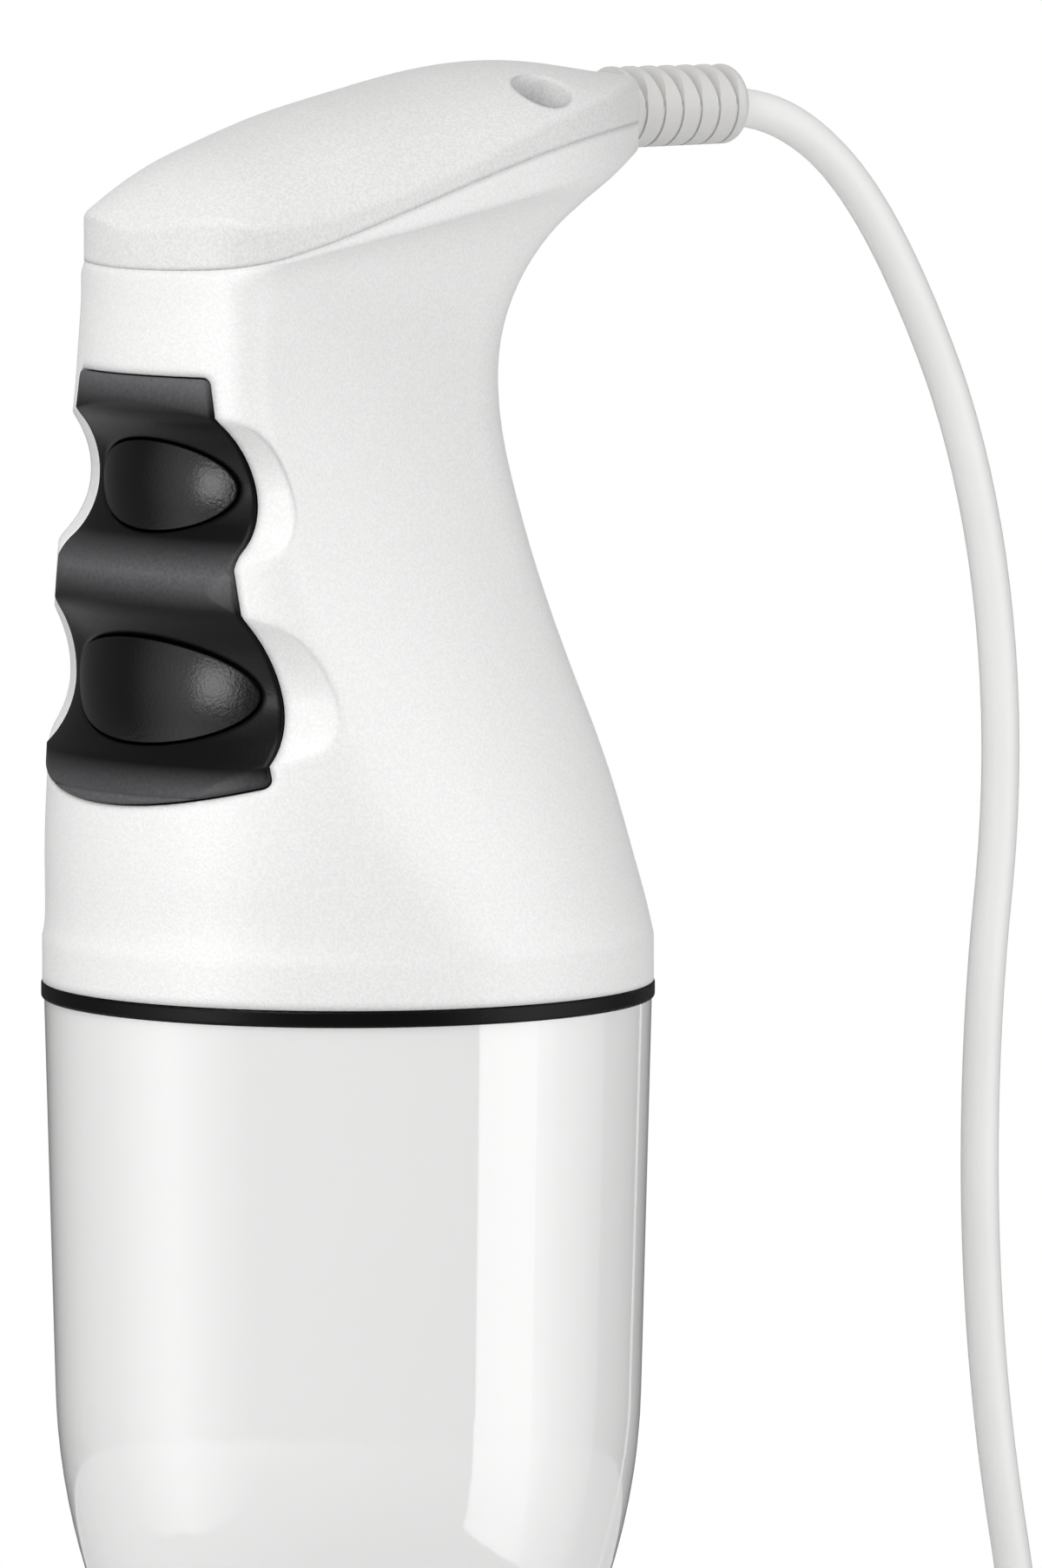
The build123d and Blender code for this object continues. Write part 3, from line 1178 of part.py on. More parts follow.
def make_plug_body():
    """Flat two-pin plug lying on the floor, with a tapered boot round the cord."""
    boot = Rot(90, 0, 0) * Cone(PLUG_BOOT_R, PLUG_Z * 0.7, PLUG_BOOT)
    boot = moved(boot, PLUG_X, PLUG_BOOT_Y - PLUG_BOOT / 2, PLUG_Z)
    outlines = []
    for y, width, height in (
        (PLUG_BACK_Y, PLUG_WIDTH * 0.5, PLUG_Z * 1.7),
        (PLUG_BACK_Y - PLUG_LENGTH / 2, PLUG_WIDTH, PLUG_Z * 2),
        (PLUG_FACE_Y, PLUG_WIDTH, PLUG_Z * 2),
    ):
        plane = Plane((PLUG_X, y, PLUG_Z), x_dir=(1, 0, 0), z_dir=(0, -1, 0))
        outlines.append(plane * RectangleRounded(width, height, PLUG_CORNER_R))
    body = loft(outlines[:2], ruled=True) + loft(outlines[1:], ruled=True) + boot
    for side in (-1, 1):
        x = PLUG_X + side * PLUG_PIN_SPACING / 2
        body -= rod_y(PLUG_PIN_ROOT_R, PLUG_FACE_Y - 1, PLUG_FACE_Y + PLUG_PIN_ROOT, x, PLUG_Z)
    return body


def make_plug_pins():
    pins = []
    for side in (-1, 1):
        x = PLUG_X + side * PLUG_PIN_SPACING / 2
        pin = rod_y(PLUG_PIN_R, PLUG_FACE_Y - PLUG_PIN_LENGTH, PLUG_FACE_Y, x, PLUG_Z)
        pin = fillet(pin.edges().group_by(Axis.Y)[0], PLUG_PIN_TIP_R)
        pins.append(pin + rod_y(PLUG_PIN_ROOT_R, PLUG_FACE_Y, PLUG_FACE_Y + PLUG_PIN_ROOT, x, PLUG_Z))
    return pins


form = grip_form()
NODES = {
    "top_cap": make_top_cap(),
    "cap_screws": make_cap_screws(),
    "grip_housing": make_grip_housing(form),
    "switch_panel": make_switch_panel(form),
    "upper_button": make_button(UPPER_BUTTON, GROOVE_Z[0], GROOVE_Y[0]),
    "lower_button": make_button(LOWER_BUTTON, GROOVE_Z[1], GROOVE_Y[1]),
    "upper_button_spring": make_button_spring(GROOVE_Z[0]),
    "lower_button_spring": make_button_spring(GROOVE_Z[1]),
    "upper_plunger": make_plunger(GROOVE_Z[0]),
    "lower_plunger": make_plunger(GROOVE_Z[1]),
    "switch_carrier": make_switch_carrier(),
    "upper_switch": make_switch(GROOVE_Z[0]),
    "lower_switch": make_switch(GROOVE_Z[1]),
    "circuit_board": make_circuit_board(),
    "capacitor": on_board(CAPACITOR, CAPACITOR_Z),
    "terminal_block": on_board(TERMINAL, TERMINAL_Z),
    "strain_relief": make_strain_relief(),
    "supply_lead": make_supply_lead(),
    "lead_wires": make_lead_wires(),
    "cord_clamp": make_cord_clamp(),
    "clamp_screws": make_clamp_screws(),
    "seam_ring": make_seam_ring(),
    "lower_housing": make_lower_housing(),
    "lower_bracket": make_lower_bracket(),
    "upper_bracket": make_upper_bracket(),
    "lower_bearing": make_bearing(LOWER_BEARING_Z),
    "upper_bearing": make_bearing(UPPER_BRACKET_Z),
    "motor_screws": make_motor_screws(),
    "stator_core": make_stator_core(),
    "field_coils": make_field_coils(),
    "armature_core": make_armature_core(),
    "armature_windings": make_armature_windings(),
    "commutator": make_commutator(),
    "motor_shaft": make_motor_shaft(),
    "brush_holders": make_brush_holders(),
    "carbon_brushes": make_carbon_brushes(),
    "brush_springs": make_brush_springs(),
    "shaft_coupling": make_shaft_coupling(),
    "drive_shaft": make_drive_shaft(),
    "drive_pin": make_drive_pin(),
    "shaft_tube": make_shaft_tube(),
    "tube_lock_ring": make_tube_lock_ring(),
    "nose_ring": make_nose_ring(),
    "upper_shaft_bush": make_upper_shaft_bush(),
    "lower_shaft_bush": make_lower_shaft_bush(),
    "shaft_seal": make_shaft_seal(),
    "retaining_ring": make_retaining_ring(),
    "blade_guard": make_blade_guard(),
    "blade_hub": make_blade_hub(),
    "blade": make_blade(),
    "cord_drop": make_cord_drop(),
    "cord_coil": make_cord_coil(),
    "cord_tie": make_cord_tie(),
    "plug_body": make_plug_body(),
    "plug_pins": make_plug_pins(),
}

os.makedirs("parts", exist_ok=True)
for name, shape in NODES.items():
    solids = shape if isinstance(shape, list) else [shape]
    export_step(Compound(children=[s for piece in solids for s in piece.solids()]), f"parts/{name}.step")
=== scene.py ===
"""Upright stick blender: finishes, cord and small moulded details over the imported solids."""
import math

import bmesh
import bpy
from bpy.props import FloatProperty, FloatVectorProperty, IntProperty, PointerProperty
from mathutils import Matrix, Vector


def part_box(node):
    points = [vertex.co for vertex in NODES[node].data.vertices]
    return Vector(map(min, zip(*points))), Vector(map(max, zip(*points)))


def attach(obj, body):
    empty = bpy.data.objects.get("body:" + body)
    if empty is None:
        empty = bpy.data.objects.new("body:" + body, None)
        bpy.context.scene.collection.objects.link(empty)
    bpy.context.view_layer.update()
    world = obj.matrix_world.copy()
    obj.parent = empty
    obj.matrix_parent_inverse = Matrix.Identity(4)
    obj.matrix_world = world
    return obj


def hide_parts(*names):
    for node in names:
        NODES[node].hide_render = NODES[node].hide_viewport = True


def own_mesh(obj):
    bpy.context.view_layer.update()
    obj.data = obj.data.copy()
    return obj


bl_info = {
    "name": "Stick Blender Dresser",
    "version": (1, 0, 0),
    "blender": (4, 5, 0),
    "location": "View3D > Sidebar > Stick Blender",
    "description": "Finishes, cord and moulded details for an upright stick blender",
    "category": "Object",
}

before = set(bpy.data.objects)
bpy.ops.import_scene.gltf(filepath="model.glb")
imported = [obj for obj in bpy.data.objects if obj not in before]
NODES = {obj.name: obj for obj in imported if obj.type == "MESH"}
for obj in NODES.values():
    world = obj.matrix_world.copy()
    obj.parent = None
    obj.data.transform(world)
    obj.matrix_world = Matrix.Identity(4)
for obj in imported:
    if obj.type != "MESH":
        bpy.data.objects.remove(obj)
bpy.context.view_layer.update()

# Route of the hanging stretch of cord, in metres
CORD_ROUTE = (
    (0.0, 0.0465, 0.3324),
    (0.0, 0.0542, 0.3324),
    (0.0, 0.0628, 0.3295),
    (0.0, 0.0706, 0.3229),
    (0.0, 0.0780, 0.3120),
    (0.0, 0.0856, 0.2965),
    (0.0, 0.0904, 0.2775),
    (0.0, 0.0917, 0.2555),
    (0.0, 0.0887, 0.2325),
    (0.0, 0.0882, 0.2080),
    (0.0, 0.0903, 0.1850),
    (0.0002, 0.0948, 0.1620),
    (0.0014, 0.0968, 0.1385),
    (0.0042, 0.0970, 0.1140),
    (0.0082, 0.0966, 0.0900),
    (0.0126, 0.0970, 0.0670),
    (0.0162, 0.1002, 0.0450),
    (0.0180, 0.1070, 0.0265),
    (0.0180, 0.1180, 0.0120),
    (0.0180, 0.1320, 0.0032),
    (0.0180, 0.1470, 0.0032),
)

# Share of the tail, from the coil on, in which the cord straightens towards the plug
TAIL_BEND = 0.4

# Heights of the switch panel's crests with the strength of the painted highlight on each, and how far the
# painted highlight fades
PANEL_CRESTS = ((0.2622, 0.8), (0.2858, 0.85), (0.3061, 1.0))
CREST_FADE = 0.0036

# Return springs: radius of the wire and turns
SPRING_WIRE_R = 0.00035
SPRING_TURNS = 3.0

# Place and aim of the camera in metres, and the width of its sensor in millimetres
CAMERA_PLACE = (1.182, -0.9235, 0.400)
CAMERA_AIM = (0.0113, 0.0145, 0.2616)
SENSOR_WIDTH = 36.0

# How much of the white sky shows in glossy pieces
GLOSSY_SKY = 0.04

# Side boxes: how wide they shine, their gain, and how they fade across their width as (share, level)
BOX_SPREAD = math.radians(110)
BOX_GAIN = 2.0
SIDE_FADE = ((0.0, 1.0), (0.4, 0.75), (0.55, 0.42), (1.0, 0.12))
LEFT_FADE = ((0.0, 0.0), (0.5, 1.0), (1.0, 0.0))


def tint(name, text, default):
    return FloatVectorProperty(
        name=name, description=text, subtype="COLOR", size=3, min=0, max=1, default=default
    )


def size(name, text, default):
    return FloatProperty(name=name, description=text, unit="LENGTH", min=0, default=default)


def power(name, text, default):
    return FloatProperty(name=name, description=text, unit="POWER", min=0, default=default)


def number(name, text, default, low, high):
    return IntProperty(name=name, description=text, default=default, min=low, max=high)


class BlenderFinishes(bpy.types.PropertyGroup):
    """Colours of the moulded and metal pieces."""

    cap: tint("Cap", "Fine textured top cap", (0.72, 0.72, 0.715))
    grip: tint("Grip", "Satin grip housing", (0.80, 0.80, 0.795))
    lower: tint("Lower housing", "Glossy motor housing", (0.80, 0.80, 0.795))
    panel: tint("Switch panel", "Soft black panel and buttons", (0.004, 0.004, 0.0045))
    # Panel crests: grey painted on the panel's ridges as a highlight
    crest: tint("Panel crests", "Rubbed grey on the panel's ridges", (0.115, 0.115, 0.12))
    seam: tint("Seam ring", "Satin black ring", (0.002, 0.002, 0.002))
    relief: tint("Strain relief", "Soft sleeve round the cord", (0.66, 0.655, 0.64))
    sheath: tint("Cord sheath", "Mains cord", (0.88, 0.88, 0.87))
    plug: tint("Plug", "Moulded plug", (0.76, 0.76, 0.75))
    steel: tint("Steel", "Shaft tube and guard", (0.60, 0.60, 0.61))


class BlenderCord(bpy.types.PropertyGroup):
    """Sizes of the mains cord and its coil."""

    thickness: size("Thickness", "Outer diameter of the cord", 0.0042)
    outer: size("Coil radius", "Radius of the coil's outermost turn", 0.0314)
    pitch: size("Pitch", "Distance between neighbouring turns", 0.0048)
    layer: size("Layer", "Height from the lower turns to the upper ones", 0.0048)
    turns: number("Turns", "Turns in each layer", 3, 1, 6)
    steps: number("Steps", "Control points in half a turn", 6, 6, 12)
    tail: size("Tail", "Straight cord between coil and plug", 0.018)


class BlenderTrim(bpy.types.PropertyGroup):
    """Sizes of the plug's finger ribs and the tie's teeth."""

    ribs: number("Ribs", "Finger ribs on the plug", 5, 1, 12)
    rib_inset: size("Rib inset", "From the plug's face to the first rib", 0.0045)
    rib_pitch: size("Rib pitch", "Distance between the plug's finger ribs", 0.0022)
    rib_length: size("Rib length", "Length of a finger rib", 0.022)
    rib_width: size("Rib width", "Width of a finger rib", 0.0013)
    rib_height: size("Rib height", "Height of a finger rib", 0.0005)
    teeth: number("Teeth", "Teeth on the tie", 13, 1, 40)
    tooth_inset: size("Tooth inset", "From the tie's end to its first tooth", 0.0020)
    tooth_pitch: size("Tooth pitch", "Distance between the tie's teeth", 0.0014)
    tooth_length: size("Tooth length", "Length of a tooth", 0.0056)
    tooth_width: size("Tooth width", "Width of a tooth", 0.0008)
    tooth_height: size("Tooth height", "Height of a tooth", 0.0003)


class BlenderStage(bpy.types.PropertyGroup):
    """Floor, lamps and camera."""

    floor: size("Floor", "Radius of the round floor", 0.85)
    lens: FloatProperty(name="Lens", description="Focal length in millimetres", default=325.9, min=10)
    strip: power("Side box", "Power of the tall box on the right", 0.41)
    left: power("Left box", "Power of the wide box on the left", 0.205)
    front: power("Front fill", "Power of the soft fill in front", 6.6)
    back: power("Back fill", "Power of the soft fill behind", 8.0)
    top: power("Top box", "Power of the box overhead", 12.3)
    button: power("Button glow", "Power of the sheen on the buttons", 2.0)
    sky: FloatProperty(name="Sky", description="Even light from all round", default=0.085, min=0)


class Flow:
    """A node socket that takes part in Python expressions."""

    def __init__(self, tree, socket=None):
        self.tree = tree
        self.socket = socket

    def make(self, kind, settings=None, inputs=None, out=0):
        """Adds a node, sets it up, feeds its sockets and returns one of its outputs."""
        node = self.tree.nodes.new(kind)
        for key, value in (settings or {}).items():
            if key == "stops":
                ramp = node.color_ramp.elements
                while len(ramp) < len(value):
                    ramp.new(1.0)
                for stop, (place, level) in zip(ramp, value):
                    stop.position = place
                    stop.color = (level, level, level, 1.0)
            else:
                setattr(node, key, value)
        for key, value in (inputs or {}).items():
            if isinstance(value, Flow):
                self.tree.links.new(value.socket, node.inputs[key])
            else:
                node.inputs[key].default_value = value
        return Flow(self.tree, node.outputs[out] if node.outputs else None)

    def math(self, operation, first, second):
        return self.make("ShaderNodeMath", {"operation": operation}, {0: first, 1: second})

    def __add__(self, other):
        return self.math("ADD", self, other)

    def __radd__(self, other):
        return self.math("ADD", other, self)

    def __sub__(self, other):
        return self.math("SUBTRACT", self, other)

    def __rsub__(self, other):
        return self.math("SUBTRACT", other, self)

    def __mul__(self, other):
        return self.math("MULTIPLY", self, other)

    def __rmul__(self, other):
        return self.math("MULTIPLY", other, self)

    def __truediv__(self, other):
        return self.math("DIVIDE", self, other)

    def __pow__(self, other):
        return self.math("POWER", self, other)


def shade(colour, factor):
    return tuple(min(1.0, c * factor) for c in colour)


class Finish:
    """One material in the making: object coordinates, noises, mixes and the final surface."""

    def __init__(self, name):
        self.material = bpy.data.materials.new(name)
        self.material.use_nodes = True
        self.tree = self.material.node_tree
        self.tree.nodes.clear()
        self.flow = Flow(self.tree)
        self.place = self.flow.make("ShaderNodeTexCoord", out="Object")

    def noise(self, scale, detail=2.0, stretch=(1, 1, 1), roughness=0.5):
        place = self.place
        if stretch != (1, 1, 1):
            place = self.flow.make("ShaderNodeMapping", None, {"Vector": place, "Scale": stretch})
        return self.flow.make(
            "ShaderNodeTexNoise", None,
            {"Vector": place, "Scale": scale, "Detail": detail, "Roughness": roughness},
        )

    def height(self):
        """Height above the floor, in metres."""
        return self.flow.make("ShaderNodeSeparateXYZ", None, {0: self.place}, out=2)

    def ridges(self, half_pitch):
        """Ridges stacked along the shaft: 0 to 1 and back over each pitch."""
        return self.flow.math("PINGPONG", self.height(), half_pitch) / half_pitch

    def mix(self, factor, first, second):
        return self.flow.make(
            "ShaderNodeMix", {"data_type": "RGBA"}, {0: factor, 6: (*first, 1), 7: (*second, 1)}, out=2
        )

    def span(self, value, low, high):
        """Maps 0..1 to low..high."""
        return value * (high - low) + low

    def bump(self, height, strength, distance, under=None):
        inputs = {"Strength": strength, "Distance": distance, "Height": height}
        if under:
            inputs["Normal"] = under
        return self.flow.make("ShaderNodeBump", None, inputs)

    def rounded(self, radius):
        """Normal that runs softly over the edges of the moulding."""
        return self.flow.make("ShaderNodeBevel", {"samples": 8}, {"Radius": radius})

    def surface(self, **sockets):
        inputs = {key.replace("_", " "): value for key, value in sockets.items()}
        shader = self.flow.make("ShaderNodeBsdfPrincipled", None, inputs)
        self.flow.make("ShaderNodeOutputMaterial", None, {"Surface": shader})
        return self.material


def colour_of(name):
    return tuple(getattr(bpy.context.scene.blender_finishes, name))


def textured_plastic(name, colour, roughness, grain, depth, spread, edge=0.0004):
    """Moulded plastic with a fine spark-eroded grain, soft edges and a faint drift of tone."""
    f = Finish(name)
    grit = f.noise(grain, 1.0)
    drift = f.noise(28.0, 1.0)
    speck = f.span(grit, -1.2, 2.0) + drift * 0.2
    tone = f.mix(speck, shade(colour, 1 - spread), shade(colour, 1 + spread))
    return f.surface(
        Base_Color=tone,
        Roughness=f.span(grit, roughness - 0.06, roughness + 0.08),
        Normal=f.bump(grit, 0.35, depth, f.rounded(edge)),
        IOR=1.47,
    )


def gloss_plastic(name, colour, roughness, coat):
    """Polished moulding: faint flow waves and fine dust in the roughness."""
    f = Finish(name)
    waves = f.noise(22.0, 1.0)
    dust = f.noise(900.0, 2.0)
    tone = f.mix(waves, shade(colour, 0.992), shade(colour, 1.006))
    return f.surface(
        Base_Color=tone,
        Roughness=f.span(dust, roughness * 0.8, roughness * 1.3),
        Normal=f.bump(waves, 0.05, 0.0004),
        Coat_Weight=coat,
        Coat_Roughness=0.03,
        IOR=1.5,
    )


def soft_black(name, colour, roughness, sheen, edge):
    """Soft-touch black with a fine matt grain."""
    f = Finish(name)
    grit = f.noise(2600.0, 2.0)
    mottle = f.noise(60.0, 2.0)
    tone = f.mix(mottle, shade(colour, 0.8), shade(colour, 1.35))
    return f.surface(
        Base_Color=tone,
        Roughness=f.span(mottle, roughness - 0.03, roughness + 0.04),
        Normal=f.bump(grit, 0.35, 0.00006, f.rounded(edge)),
        Specular_IOR_Level=sheen,
    )


def black_with_painted_highlight(name, colour, highlight_grey, stops):
    """Soft-touch black with a painted highlight: grey put on the crests at some heights; stops are (height,
    highlight strength).
    """
    f = Finish(name)
    grit = f.noise(2600.0, 2.0)
    mottle = f.noise(60.0, 2.0)
    low = stops[0][0]
    reach = stops[-1][0] - low
    ramp = [((place - low) / reach, wear) for place, wear in stops]
    crest = f.flow.make("ShaderNodeValToRGB", {"stops": ramp}, {0: (f.height() - low) / reach})
    # Painted highlight: grey on the crests, broken up by the grain and a mottle noise
    painted_highlight = crest * (f.span(grit, 0.5, 1.3) + mottle * 0.2)
    return f.surface(
        Base_Color=f.mix(painted_highlight, colour, highlight_grey),
        Roughness=f.span(painted_highlight, 0.30, 0.42),
        Normal=f.bump(grit, 0.35, 0.00006, f.rounded(0.0008)),
        Specular_IOR_Level=0.16,
    )


def rubber(name, colour, roughness):
    """Soft moulding with a dull, slightly uneven skin."""
    f = Finish(name)
    grit = f.noise(1800.0, 2.0)
    drift = f.noise(45.0, 2.0)
    tone = f.mix(drift, shade(colour, 0.95), shade(colour, 1.04))
    return f.surface(
        Base_Color=tone,
        Roughness=f.span(grit, roughness - 0.05, roughness + 0.07),
        Normal=f.bump(grit, 0.2, 0.00008),
    )


def brushed_metal(name, colour, stretch, roughness):
    """Drawn or turned metal: fine lines along the way it was worked."""
    f = Finish(name)
    lines = f.noise(260.0, 4.0, stretch, 0.65)
    stain = f.noise(35.0, 2.0)
    tone = f.mix(lines * 0.6 + stain * 0.4, shade(colour, 0.86), shade(colour, 1.12))
    return f.surface(
        Base_Color=tone,
        Metallic=1.0,
        Roughness=f.span(lines, roughness - 0.07, roughness + 0.09),
        Normal=f.bump(lines, 0.12, 0.00005),
    )


def stacked_sheet(name, colour):
    """Laminated iron: thin sheets stacked along the shaft."""
    f = Finish(name)
    ridge = f.ridges(0.00025)
    rust = f.noise(120.0, 3.0)
    tone = f.mix(rust, shade(colour, 0.75), shade(colour, 1.2))
    return f.surface(
        Base_Color=tone,
        Metallic=0.8,
        Roughness=f.span(rust, 0.4, 0.6),
        Normal=f.bump(ridge, 0.6, 0.00015),
    )


def wound_copper(name, colour):
    """Enamelled wire lying in layers round the shaft."""
    f = Finish(name)
    strand = f.ridges(0.0003)
    heat = f.noise(90.0, 2.0)
    tone = f.mix(heat * 0.6 + strand * 0.4, shade(colour, 0.6), shade(colour, 1.25))
    return f.surface(
        Base_Color=tone,
        Metallic=0.7,
        Roughness=f.span(heat, 0.25, 0.42),
        Normal=f.bump(strand, 0.8, 0.0002),
    )


def board_laminate(name):
    """Circuit board with pale tracks under green lacquer."""
    f = Finish(name)
    cells = f.flow.make(
        "ShaderNodeTexVoronoi", {"feature": "DISTANCE_TO_EDGE"}, {"Vector": f.place, "Scale": 320.0}
    )
    track = f.flow.math("LESS_THAN", cells, 0.12)
    tone = f.mix(track, (0.02, 0.12, 0.05), (0.10, 0.30, 0.12))
    return f.surface(Base_Color=tone, Roughness=f.span(track, 0.45, 0.3), Normal=f.bump(track, 0.2, 0.00005))


def dress(material, *names):
    """Gives CAD solids their finish."""
    for name in names:
        mesh = NODES[name].data
        mesh.materials.clear()
        mesh.materials.append(material)


def placed(name, data):
    """New object in the scene."""
    thing = bpy.data.objects.new(name, data)
    bpy.context.scene.collection.objects.link(thing)
    return thing


def open_tree(name, **inputs):
    """New node tree with named inputs; gives its flow and one flow for each input."""
    tree = bpy.data.node_groups.new(name, "GeometryNodeTree")
    tree.interface.new_socket("Geometry", in_out="OUTPUT", socket_type="NodeSocketGeometry")
    for title, kind in inputs.items():
        tree.interface.new_socket(title, in_out="INPUT", socket_type="NodeSocket" + kind)
    given = tree.nodes.new("NodeGroupInput").outputs
    ask = {socket.name: Flow(tree, socket) for socket in given if socket.name}
    return Flow(tree), ask


def close_tree(flow, shape, material):
    """Ends a tree with real faces in one material."""
    whole = flow.make("GeometryNodeRealizeInstances", None, {"Geometry": shape})
    coloured = flow.make("GeometryNodeSetMaterial", None, {"Geometry": whole, "Material": material})
    flow.make("NodeGroupOutput", None, {"Geometry": coloured})
    return flow.tree


def bar_row_tree():
    """Row of half-sunk rounded bars lying along X and repeated along Y."""
    flow, ask = open_tree(
        "bar_row", Start="Vector", Length="Float", Width="Float", Height="Float", Pitch="Float",
        Count="Int", Material="Material",
    )
    step = flow.make("ShaderNodeCombineXYZ", None, {"Y": ask["Pitch"]})
    line = flow.make(
        "GeometryNodeMeshLine", None, {"Count": ask["Count"], "Start Location": ask["Start"], "Offset": step}
    )
    bar = flow.make("GeometryNodeMeshCylinder", None, {"Vertices": 16, "Radius": 0.5, "Depth": 1.0})
    scale = flow.make(
        "ShaderNodeCombineXYZ", None, {"X": ask["Height"] * 2, "Y": ask["Width"], "Z": ask["Length"]}
    )
    row = flow.make(
        "GeometryNodeInstanceOnPoints", None,
        {"Points": line, "Instance": bar, "Rotation": (0.0, math.pi / 2, 0.0), "Scale": scale},
    )
    return close_tree(flow, row, ask["Material"])


def spring_tree():
    """Helical spring lying along Y."""
    flow, ask = open_tree(
        "spring", Start="Vector", Radius="Float", Wire="Float", Length="Float", Turns="Float",
        Material="Material",
    )
    helix = flow.make(
        "GeometryNodeCurveSpiral", None,
        {
            "Resolution": 28,
            "Rotations": ask["Turns"],
            "Start Radius": ask["Radius"],
            "End Radius": ask["Radius"],
            "Height": ask["Length"],
        },
    )
    laid = flow.make(
        "GeometryNodeTransform", None,
        {"Geometry": helix, "Translation": ask["Start"], "Rotation": (-math.pi / 2, 0.0, 0.0)},
    )
    wire = flow.make("GeometryNodeCurvePrimitiveCircle", None, {"Resolution": 10, "Radius": ask["Wire"]})
    coil = flow.make(
        "GeometryNodeCurveToMesh", None, {"Curve": laid, "Profile Curve": wire, "Fill Caps": True}
    )
    return close_tree(flow, coil, ask["Material"])


def grown(name, tree, **sizes):
    """Plain mesh of what a node tree makes."""
    maker = placed(name + "_maker", bpy.data.meshes.new(name + "_maker"))
    modifier = maker.modifiers.new("tree", "NODES")
    modifier.node_group = tree
    for item in tree.interface.items_tree:
        if item.in_out == "INPUT":
            modifier[item.identifier] = sizes[item.name.lower()]
    ready = maker.evaluated_get(bpy.context.evaluated_depsgraph_get())
    mesh = bpy.data.meshes.new_from_object(ready)
    maker.modifiers.remove(modifier)
    bpy.data.objects.remove(maker)
    mesh.name = name
    mesh.shade_smooth()
    return placed(name, mesh)


class BLENDER_OT_shells(bpy.types.Operator):
    """Finish the cap, grip, lower housing and the rings between them"""

    bl_idname = "blender_dress.shells"
    bl_label = "Shells"

    def execute(self, context):
        cap = textured_plastic(
            "cap_texture", colour_of("cap"), roughness=0.52, grain=3300.0, depth=0.00010, spread=0.060,
            edge=0.0008,
        )
        grip = textured_plastic(
            "grip_satin", colour_of("grip"), roughness=0.40, grain=3300.0, depth=0.00008, spread=0.040,
            edge=0.0015,
        )
        dress(cap, "top_cap")
        dress(grip, "grip_housing")
        dress(gloss_plastic("lower_gloss", colour_of("lower"), roughness=0.06, coat=0.6), "lower_housing")
        ring = soft_black("seam_black", colour_of("seam"), roughness=0.4, sheen=0.12, edge=0.0002)
        dress(ring, "seam_ring")
        dress(rubber("nose_rubber", (0.02, 0.02, 0.02), roughness=0.6), "nose_ring", "shaft_seal")
        return {"FINISHED"}


class BLENDER_OT_switches(bpy.types.Operator):
    """Finish the switch panel, the buttons and what is behind them"""

    bl_idname = "blender_dress.switches"
    bl_label = "Switch panel"

    def execute(self, context):
        # Painted highlight: the panel's crests are coloured grey where they would catch the light
        panel = black_with_painted_highlight("panel_black", colour_of("panel"), colour_of("crest"), self.crest_highlight())
        dress(panel, "switch_panel")
        button = soft_black("button_black", colour_of("panel"), roughness=0.22, sheen=0.3, edge=0.0002)
        dress(button, "upper_button", "lower_button")
        inner = textured_plastic(
            "inner_moulding", (0.06, 0.06, 0.065), roughness=0.5, grain=1200.0, depth=0.0001, spread=0.1
        )
        dress(inner, "switch_carrier", "cord_clamp")
        dress(inner, "upper_switch", "lower_switch", "upper_plunger", "lower_plunger")
        dress(board_laminate("board_green"), "circuit_board")
        case = gloss_plastic("component_case", (0.50, 0.34, 0.06), roughness=0.25, coat=0.2)
        dress(case, "capacitor", "terminal_block")
        wire = brushed_metal("spring_wire", (0.5, 0.5, 0.51), stretch=(1, 1, 1), roughness=0.3)
        dress(wire, "brush_springs")
        tree = spring_tree()
        for place in ("upper", "lower"):
            self.return_spring(tree, place, wire)
        return {"FINISHED"}

    def crest_highlight(self):
        """Painted highlight by height: full from the lowest crest down and from the highest up, none in the
        valleys.
        """
        (low, low_highlight), (middle, middle_highlight), (high, high_highlight) = PANEL_CRESTS
        return (
            (low, low_highlight),
            (low + CREST_FADE, 0.0),
            (middle - CREST_FADE, 0.0),
            (middle, middle_highlight),
            (middle + CREST_FADE, 0.0),
            (high - CREST_FADE, 0.0),
            (high, high_highlight),
        )

    def return_spring(self, tree, place, wire):
        """Return spring for a button, in place of the packed one and fixed to the housing."""
        low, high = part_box(place + "_button_spring")
        middle_x = (low[0] + high[0]) / 2
        middle_z = (low[2] + high[2]) / 2
        spring = grown(
            place + "_return_spring",
            tree,
            start=(middle_x, low[1] + SPRING_WIRE_R, middle_z),
            radius=(high[0] - low[0]) / 2 - SPRING_WIRE_R,
            wire=SPRING_WIRE_R,
            length=high[1] - low[1] - 2 * SPRING_WIRE_R,
            turns=SPRING_TURNS,
            material=wire,
        )
        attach(spring, "housing")
        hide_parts(place + "_button_spring")
        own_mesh(spring)


